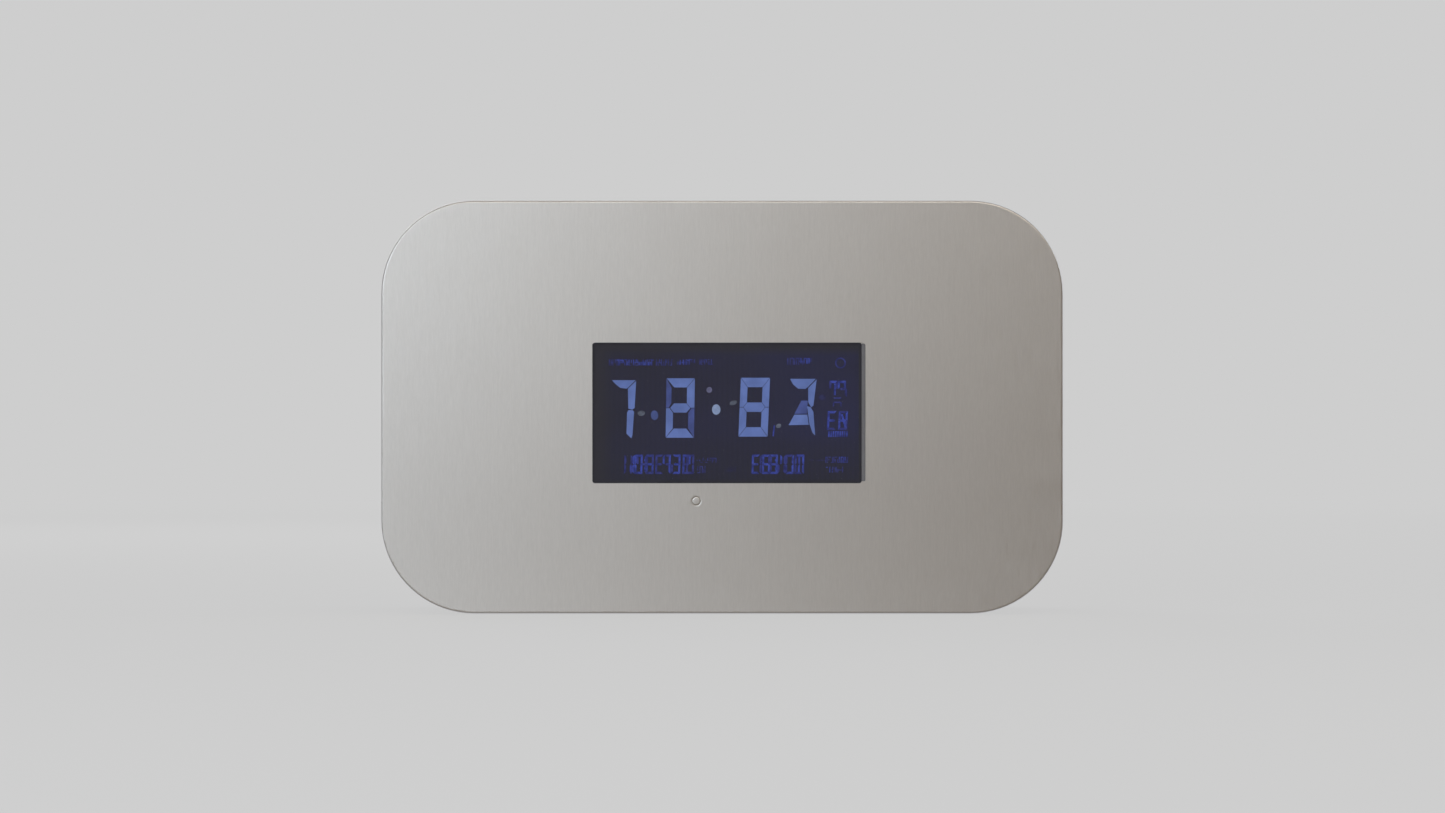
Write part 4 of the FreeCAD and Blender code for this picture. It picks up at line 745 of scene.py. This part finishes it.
# ---------------------------------------------------------------- pieces that flex, built here in one fixed shape
def flat_cable():
    """The display's flat cable: ribbed film in one fixed shape that bends past the hinge; the real one flexes
    as the door opens.
    """
    lo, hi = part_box("display_cable")
    bend, half, rib = 5 * MM, 0.11 * MM, 0.04 * MM
    steps, bend_steps, ribs = 44, 8, 12
    left, front, back = lo.x + half + rib, lo.y + half + rib, hi.y - half - rib

    def bend_points(middle_y, start):
        for k in range(bend_steps + 1):
            a = math.radians(start - 90 * k / bend_steps)
            route.append((left + bend + bend * math.cos(a), middle_y + bend * math.sin(a)))

    route = [(hi.x, front)]
    bend_points(front + bend, 270)
    for k in range(1, steps):
        route.append((left, front + bend + (back - front - 2 * bend) * k / steps))
    bend_points(back - bend, 180)
    rear_end = hi.x - 7 * MM
    route.append((rear_end, back))
    rib_section = ((-0.32 * MM, half), (-0.22 * MM, half + rib), (0.22 * MM, half + rib), (0.32 * MM, half))
    profile = [(lo.z, half)]
    for k in range(ribs):
        z = lo.z + (k + 0.5) * (hi.z - lo.z) / ribs
        profile += [(z + across, off) for across, off in rib_section]
    profile += [(hi.z, half), (hi.z, -half), (lo.z, -half)]
    rings = []
    for i, (x, y) in enumerate(route):
        before, after = route[max(i - 1, 0)], route[min(i + 1, len(route) - 1)]
        along = Vector((after[0] - before[0], after[1] - before[1])).normalized()
        rings.append([(x - along.y * off, y + along.x * off, z) for z, off in profile])
    bm = bmesh.new()
    skin(bm, rings)
    cable = new_piece("display_cable_film", bm, "film", None)
    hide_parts("display_cable")
    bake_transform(cable)


def add_coil(bm, x, z, y_from, y_to, radius, wire, turns):
    """A compression spring along Y whose end turns lie close together."""
    steps = 20 * turns
    crowding = 0.55
    rings = []
    for k in range(steps + 1):
        share = k / steps
        rise = share - crowding * math.sin(2 * math.pi * share) / (2 * math.pi)
        y = y_from + wire + (y_to - y_from - 2 * wire) * rise
        a = 2 * math.pi * turns * share
        ring = []
        for b in circle_angles(8):
            reach = radius + wire * math.cos(b)
            ring.append((x + reach * math.cos(a), y + wire * math.sin(b), z + reach * math.sin(a)))
        rings.append(ring)
    skin(bm, rings)


def lever_springs():
    """The pinch lever's springs, as two coils of fixed length; the real ones shorten as the lever swings."""
    lo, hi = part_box("pinch_springs")
    wire, turns = 0.4 * MM, 7
    radius = (hi.z - lo.z) / 2 - wire
    bm = bmesh.new()
    for x in (lo.x + radius + wire, hi.x - radius - wire):
        add_coil(bm, x, (lo.z + hi.z) / 2, lo.y, hi.y, radius, wire, turns)
    springs = new_piece("pinch_spring_coils", bm, "steel", None, smooth=True)
    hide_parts("pinch_springs")
    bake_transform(springs)


flat_cable()
lever_springs()


# ---------------------------------------------------------------- circuit board detail
# Sizes and places on the boards are in millimetres. up is the way along Y that a board's parts stand: -1 on
# the main board's front, 1 on the display board's back. LEG is a leg's side view, as (distance from the chip,
# height over the board).
LEG = ((0, 0.9), (0.45, 0.9), (0.7, 0.14), (1.15, 0.14), (1.15, 0.0), (0.58, 0.0), (0.36, 0.76), (0, 0.76))
LEG_HALF_WIDTH = 0.17
LEFT_RIGHT = ((1, 0), (-1, 0))
UP_DOWN = ((0, 1), (0, -1))


def add_leg(bm, x, z, out, board_y, up):
    """A gull-wing leg that leaves a chip's side at (x, z), heads out and down, and lies on the board."""
    rings = []
    for side in (-LEG_HALF_WIDTH, LEG_HALF_WIDTH):
        ring = []
        for d, h in LEG:
            leg_x = x + (out[0] * d - out[1] * side) * MM
            leg_z = z + (out[1] * d + out[0] * side) * MM
            ring.append((leg_x, board_y + up * h * MM, leg_z))
        rings.append(ring)
    skin(bm, rings)


def add_chip_legs(bm, centre, size, sides, count, pitch, board_y, up):
    """Legs along some sides of a chip; sides holds their outward directions, (x, z)."""
    for out in sides:
        for k in range(count):
            along = (k - (count - 1) / 2) * pitch
            x = centre[0] + (size[0] / 2) * out[0] + along * abs(out[1])
            z = centre[1] + (size[1] / 2) * out[1] + along * abs(out[0])
            add_leg(bm, x * MM, z * MM, out, board_y, up)


def add_small_part(bodies, ends, x, z, board_y, up):
    """A chip resistor or capacitor with tinned ends."""
    for target, start, stop, half, rise in (
        (bodies, -0.55, 0.55, 0.36, 0.42),
        (ends, -0.85, -0.5, 0.4, 0.48),
        (ends, 0.5, 0.85, 0.4, 0.48),
    ):
        low_y, high_y = sorted((board_y, board_y + up * rise * MM))
        lo = ((x + start) * MM, low_y, (z - half) * MM)
        hi = ((x + stop) * MM, high_y, (z + half) * MM)
        add_block(target, lo, hi, 0.05 * MM)


def scatter_parts(name, body, board_y, up, area, keep_out, count, seed):
    """Small parts in loose rows on a board, clear of each other and of the boxes in keep_out."""
    grid_x, grid_z = 2.5, 1.9
    clear_x, clear_z = 2.4, 1.8
    margin = 1.8
    tries = count * 12

    def blocked(x, z):
        for lo_x, hi_x, lo_z, hi_z in keep_out:
            if lo_x - margin < x < hi_x + margin and lo_z - margin < z < hi_z + margin:
                return True
        return any(abs(x - other_x) < clear_x and abs(z - other_z) < clear_z for other_x, other_z in taken)

    draw = random.Random(seed)
    bodies, ends, taken = bmesh.new(), bmesh.new(), []
    for _ in range(tries):
        if len(taken) == count:
            break
        x = round(draw.uniform(area[0], area[1]) / grid_x) * grid_x
        z = round(draw.uniform(area[2], area[3]) / grid_z) * grid_z
        if blocked(x, z):
            continue
        taken.append((x, z))
        add_small_part(bodies, ends, x, z, board_y, up)
    new_piece(f"{name}_small_parts", bodies, "chip_part", body)
    new_piece(f"{name}_small_part_ends", ends, "tin", body)


def add_board_screw(bm, x, z, seat_y, up):
    """A cap screw with a hexagonal socket, its head on the board."""

    def ring(radius, height, hexagonal=False):
        points = []
        y = seat_y + up * height * MM
        for a in circle_angles(24):
            reach = radius
            if hexagonal:
                reach = radius / math.cos((a + math.pi / 6) % (math.pi / 3) - math.pi / 6)
            points.append(((x + reach * math.cos(a)) * MM, y, (z + reach * math.sin(a)) * MM))
        return points

    stem, head, chamfer, socket = 1.2, 2.2, 1.95, 0.95
    skin(bm, [
        ring(stem, -3.2), ring(stem, 0), ring(head, 0), ring(head, 1.25), ring(chamfer, 1.5),
        ring(socket, 1.5, True), ring(socket, 0.6, True),
    ])


def box_of(centre_x, width, centre_z, height):
    """A box on a board as (low x, high x, low z, high z)."""
    return (centre_x - width / 2, centre_x + width / 2, centre_z - height / 2, centre_z + height / 2)


def main_board_detail():
    """Legs, small parts, screws, pin marks and can scores on the main board."""
    board_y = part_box("main_board")[0].y
    up = -1
    processor, driver, memory = (0, 76), (22, 66), (-20, 96)
    capacitors = ((-42, 44), (-42, 56), (-30, 44))
    legs = bmesh.new()
    add_chip_legs(legs, processor, (16, 16), LEFT_RIGHT + UP_DOWN, 14, 1.0, board_y, up)
    add_chip_legs(legs, driver, (8, 12), LEFT_RIGHT, 9, 1.27, board_y, up)
    add_chip_legs(legs, memory, (10, 6), UP_DOWN, 7, 1.27, board_y, up)
    new_piece("main_board_legs", legs, "tin", "base")
    keep_out = [
        box_of(0, 19, 76, 19),  # processor, driver and memory, each with its legs
        box_of(22, 11, 66, 12),
        box_of(-20, 10, 96, 9),
        box_of(-55.5, 8, 76, 14),  # the display cable's connector
        box_of(-22, 14, 28, 6),  # connectors at the board's lower and upper edges
        box_of(16, 18, 28, 6),
        box_of(-8, 20, 123, 6),
        box_of(-42, 10, 100, 14),  # a block at the left, the capacitors and the buzzer
        box_of(-37, 22, 50, 22),
        box_of(42, 14, 44, 14),
        box_of(30.5, 11, 96, 44),  # round the card sensor, which stands in front of the board
    ]
    screw_places = [(x, z) for x in (-54, 54) for z in (30, 122)]
    keep_out += [box_of(x, 8, z, 8) for x, z in screw_places]
    scatter_parts("main_board", "base", board_y, up, (-50, 50, 34, 116), keep_out, 90, 3)
    screws = bmesh.new()
    for x, z in screw_places:
        add_board_screw(screws, x, z, board_y, up)
    new_piece("main_board_screws", screws, "steel", "base")
    marks = bmesh.new()
    sunk, proud = 0.02, 0.03
    for x, z, chip_top in ((-5.6, 81.6, 1.7), (19.2, 70.6, 1.7), (-23.6, 97.6, 1.8)):
        spot = circle(x * MM, z * MM, 0.6 * MM)
        add_prism(marks, spot, board_y - (chip_top - sunk) * MM, board_y - (chip_top + proud) * MM)
    score = ((0.1, -0.12), (3.0, -0.12), (3.0, 0.12), (0.1, 0.12))
    score_front = board_y - 8.53 * MM
    for x, z in capacitors:
        for turn in range(3):
            a = math.radians(120 * turn + 30)
            points = []
            for d, w in score:
                point_x = x + math.cos(a) * d - math.sin(a) * w
                point_z = z + math.sin(a) * d + math.cos(a) * w
                points.append((point_x * MM, point_z * MM))
            add_prism(marks, points, score_front + 0.05 * MM, score_front)
    new_piece("main_board_marks", marks, "tin", "base")


def display_board_detail():
    """Legs, small parts and screws on the back of the display's board."""
    lo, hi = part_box("display_board")
    board_y, up = hi.y, 1
    middle_x = (lo.x + hi.x) / 2 / MM
    middle_z = (hi.z / MM) - 29
    chip_x = middle_x + 14
    legs = bmesh.new()
    add_chip_legs(legs, (chip_x, middle_z), (14, 14), LEFT_RIGHT + UP_DOWN, 12, 1.0, board_y, up)
    new_piece("display_board_legs", legs, "tin", "door")
    keep_out = [
        box_of(chip_x, 17, middle_z, 17),  # the driver chip with its legs
        (-56, -43, 67, 85),  # the cable's connector
        box_of(-9.5, 9, 41.5, 9),  # behind the push switch
    ]
    screw_places = [(middle_x + x, middle_z + z) for x in (-53.2, 53.2) for z in (-25, 25)]
    keep_out += [box_of(x, 8, z, 8) for x, z in screw_places]
    scatter_parts("display_board", "door", board_y, up, (-50, 54, 42, 98), keep_out, 60, 5)
    screws = bmesh.new()
    for x, z in screw_places:
        add_board_screw(screws, x, z, board_y, up)
    new_piece("display_board_screws", screws, "steel", "door")


def key_symbols():
    """A ring, an upward arrow and a turned arrow on the setting keys."""
    corners = {
        "key_adjust": [
            (0, 2.4), (2.3, -0.2), (0.8, -0.2), (0.8, -2.3), (-0.8, -2.3), (-0.8, -0.2), (-2.3, -0.2),
        ],
        "key_enter": [
            (2.4, 2.2), (2.4, -1.0), (-0.5, -1.0), (-0.5, -2.3), (-2.5, -0.4),
            (-0.5, 1.5), (-0.5, 0.2), (1.2, 0.2), (1.2, 2.2),
        ],
    }
    for key, rider in (("key_mode", "mode_key"), ("key_adjust", "adjust_key"), ("key_enter", "enter_key")):
        lo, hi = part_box(key)
        x, z = (lo.x + hi.x) / 2, (lo.z + hi.z) / 2
        back, front = lo.y + 0.03 * MM, lo.y - 0.04 * MM
        bm = bmesh.new()
        if key in corners:
            add_prism(bm, [(x + u * MM, z + v * MM) for u, v in corners[key]], back, front)
        else:
            add_ring(bm, circle(x, z, 2.3 * MM), circle(x, z, 1.5 * MM), back, front)
        new_piece(f"{key}_symbol", bm, "print", rider)


main_board_detail()
display_board_detail()
key_symbols()


# ---------------------------------------------------------------- floor, light, camera
PALE = 0.617  # the stage as the camera sees it
AROUND = (0.120, 0.076, 0.037)  # the room in front of the face, as reflections and bounced light see it
IN_FRONT = (0.345, 0.318, 0.29)  # the floor close to the face, seen in the same way
BEHIND = (0.46, 0.48, 0.53)  # the floor and room behind the face, seen in the same way
FLOOR_RADIUS = 14.0


def seen_or_around(tree, seen, around):
    """The plain stage tone where the camera looks straight at it, and the room's dimmer tone elsewhere."""
    return tree.mix(tree.add("ShaderNodeLightPath").outputs["Is Camera Ray"], around, seen)


def floor_tone():
    """Plain pale floor with an even tone, which takes a faint shadow near the object.

    Near the object a small share of the tone comes from the lamps, so that shade shows, and the rest glows.
    """
    s = glowing("floor_tone", 1.0, 0.0)
    lit_share = 0.055
    near_edge, far_edge = 0.3, 2.6
    reach = s.add("ShaderNodeVectorMath", operation="LENGTH")
    s.link(s.coordinates, reach.inputs[0])
    far = s.ramp(reach.outputs["Value"], near_edge, far_edge, 0, 1, "SMOOTHSTEP")
    s.colour(s.mix(far, [lit_share] * 3, (0, 0, 0)))
    nearness = s.ramp(s.axis("Y"), FACE_Y - 250 * MM, FACE_Y - 50 * MM, 0, 1, "SMOOTHSTEP")
    bounce = s.math("MULTIPLY", nearness, s.ramp(s.axis("X"), -120 * MM, 120 * MM, 1, 0.5))
    before = s.mix(bounce, AROUND, IN_FRONT)
    around = s.mix(s.ramp(s.axis("Y"), FACE_Y - 1 * MM, FACE_Y + 1 * MM, 0, 1), before, BEHIND)
    seen = seen_or_around(s, s.mix(far, [PALE - lit_share] * 3, [PALE] * 3), around)
    s.link(seen, s.shader.inputs["Emission Color"])
    return s.material


def build_stage():
    bm = bmesh.new()
    bmesh.ops.create_circle(bm, cap_ends=True, radius=FLOOR_RADIUS, segments=64)
    mesh = bpy.data.meshes.new("floor")
    bm.to_mesh(mesh)
    bm.free()
    mesh.materials.append(floor_tone())
    floor = bpy.data.objects.new("floor", mesh)
    floor.location = (0, 0, -0.2 * MM)
    bpy.context.scene.collection.objects.link(floor)

    world = bpy.data.worlds.new("studio")
    bpy.context.scene.world = world
    world.use_nodes = True
    room = Nodes(world.node_tree, "Generated")
    around = room.mix(room.ramp(room.axis("Y"), -0.2, 0.1, 0, 1), AROUND, BEHIND)
    room.link(seen_or_around(room, [PALE] * 3, around), room.tree.nodes["Background"].inputs["Color"])


def area_light(name, place, target, size, power, colour=(1, 1, 1)):
    data = bpy.data.lights.new(name, "AREA")
    data.shape = "RECTANGLE"
    data.size, data.size_y = size
    data.energy = power
    data.color = colour
    light = bpy.data.objects.new(name, data)
    light.location = place
    light.rotation_mode = "QUATERNION"
    light.rotation_quaternion = (Vector(target) - Vector(place)).to_track_quat("-Z", "Y")
    bpy.context.scene.collection.objects.link(light)


def build_lights():
    """Each lamp's name, place, target, size, power in watts and colour."""
    middle = (CENTRE_X, FACE_Y, CENTRE_Z)
    area_light("key", (-0.74, -1.4, 0.36), middle, (1.2, 0.9), 10.3, (0.84, 0.94, 1.04))
    area_light("upper", (0.35, -1.2, 0.95), middle, (1.3, 0.75), 6.8, (1.0, 0.925, 0.815))
    area_light("top", (0.1, 0.1, 1.3), (0, 0, 0.1), (1.2, 1.2), 1.3)
    area_light("right", (1.3, 0.2, 0.5), (0, 0, 0.08), (0.6, 0.9), 2.5, (0.86, 0.93, 1.0))
    area_light("back", (-0.6, 1.5, 0.8), (0, 0, 0.08), (0.9, 0.9), 12.0)


LENS = 150.0  # focal length and sensor width in millimetres
SENSOR = 36.0
FIELD_WIDTH = 529.9 * MM  # width of view in the face's plane


def build_camera():
    """A long lens square to the face, its axis almost through the middle."""
    data = bpy.data.cameras.new("camera")
    data.lens = LENS
    data.sensor_width = SENSOR
    data.clip_start, data.clip_end = 0.05, 60.0
    camera = bpy.data.objects.new("camera", data)
    away = FIELD_WIDTH * LENS / SENSOR
    camera.location = (CENTRE_X + 0.1 * MM, FACE_Y - away, CENTRE_Z + 0.2 * MM)
    camera.rotation_euler = (math.radians(90), 0, 0)
    bpy.context.scene.collection.objects.link(camera)
    bpy.context.scene.camera = camera


build_stage()
build_lights()
build_camera()
bpy.context.scene.view_settings.view_transform = "Standard"
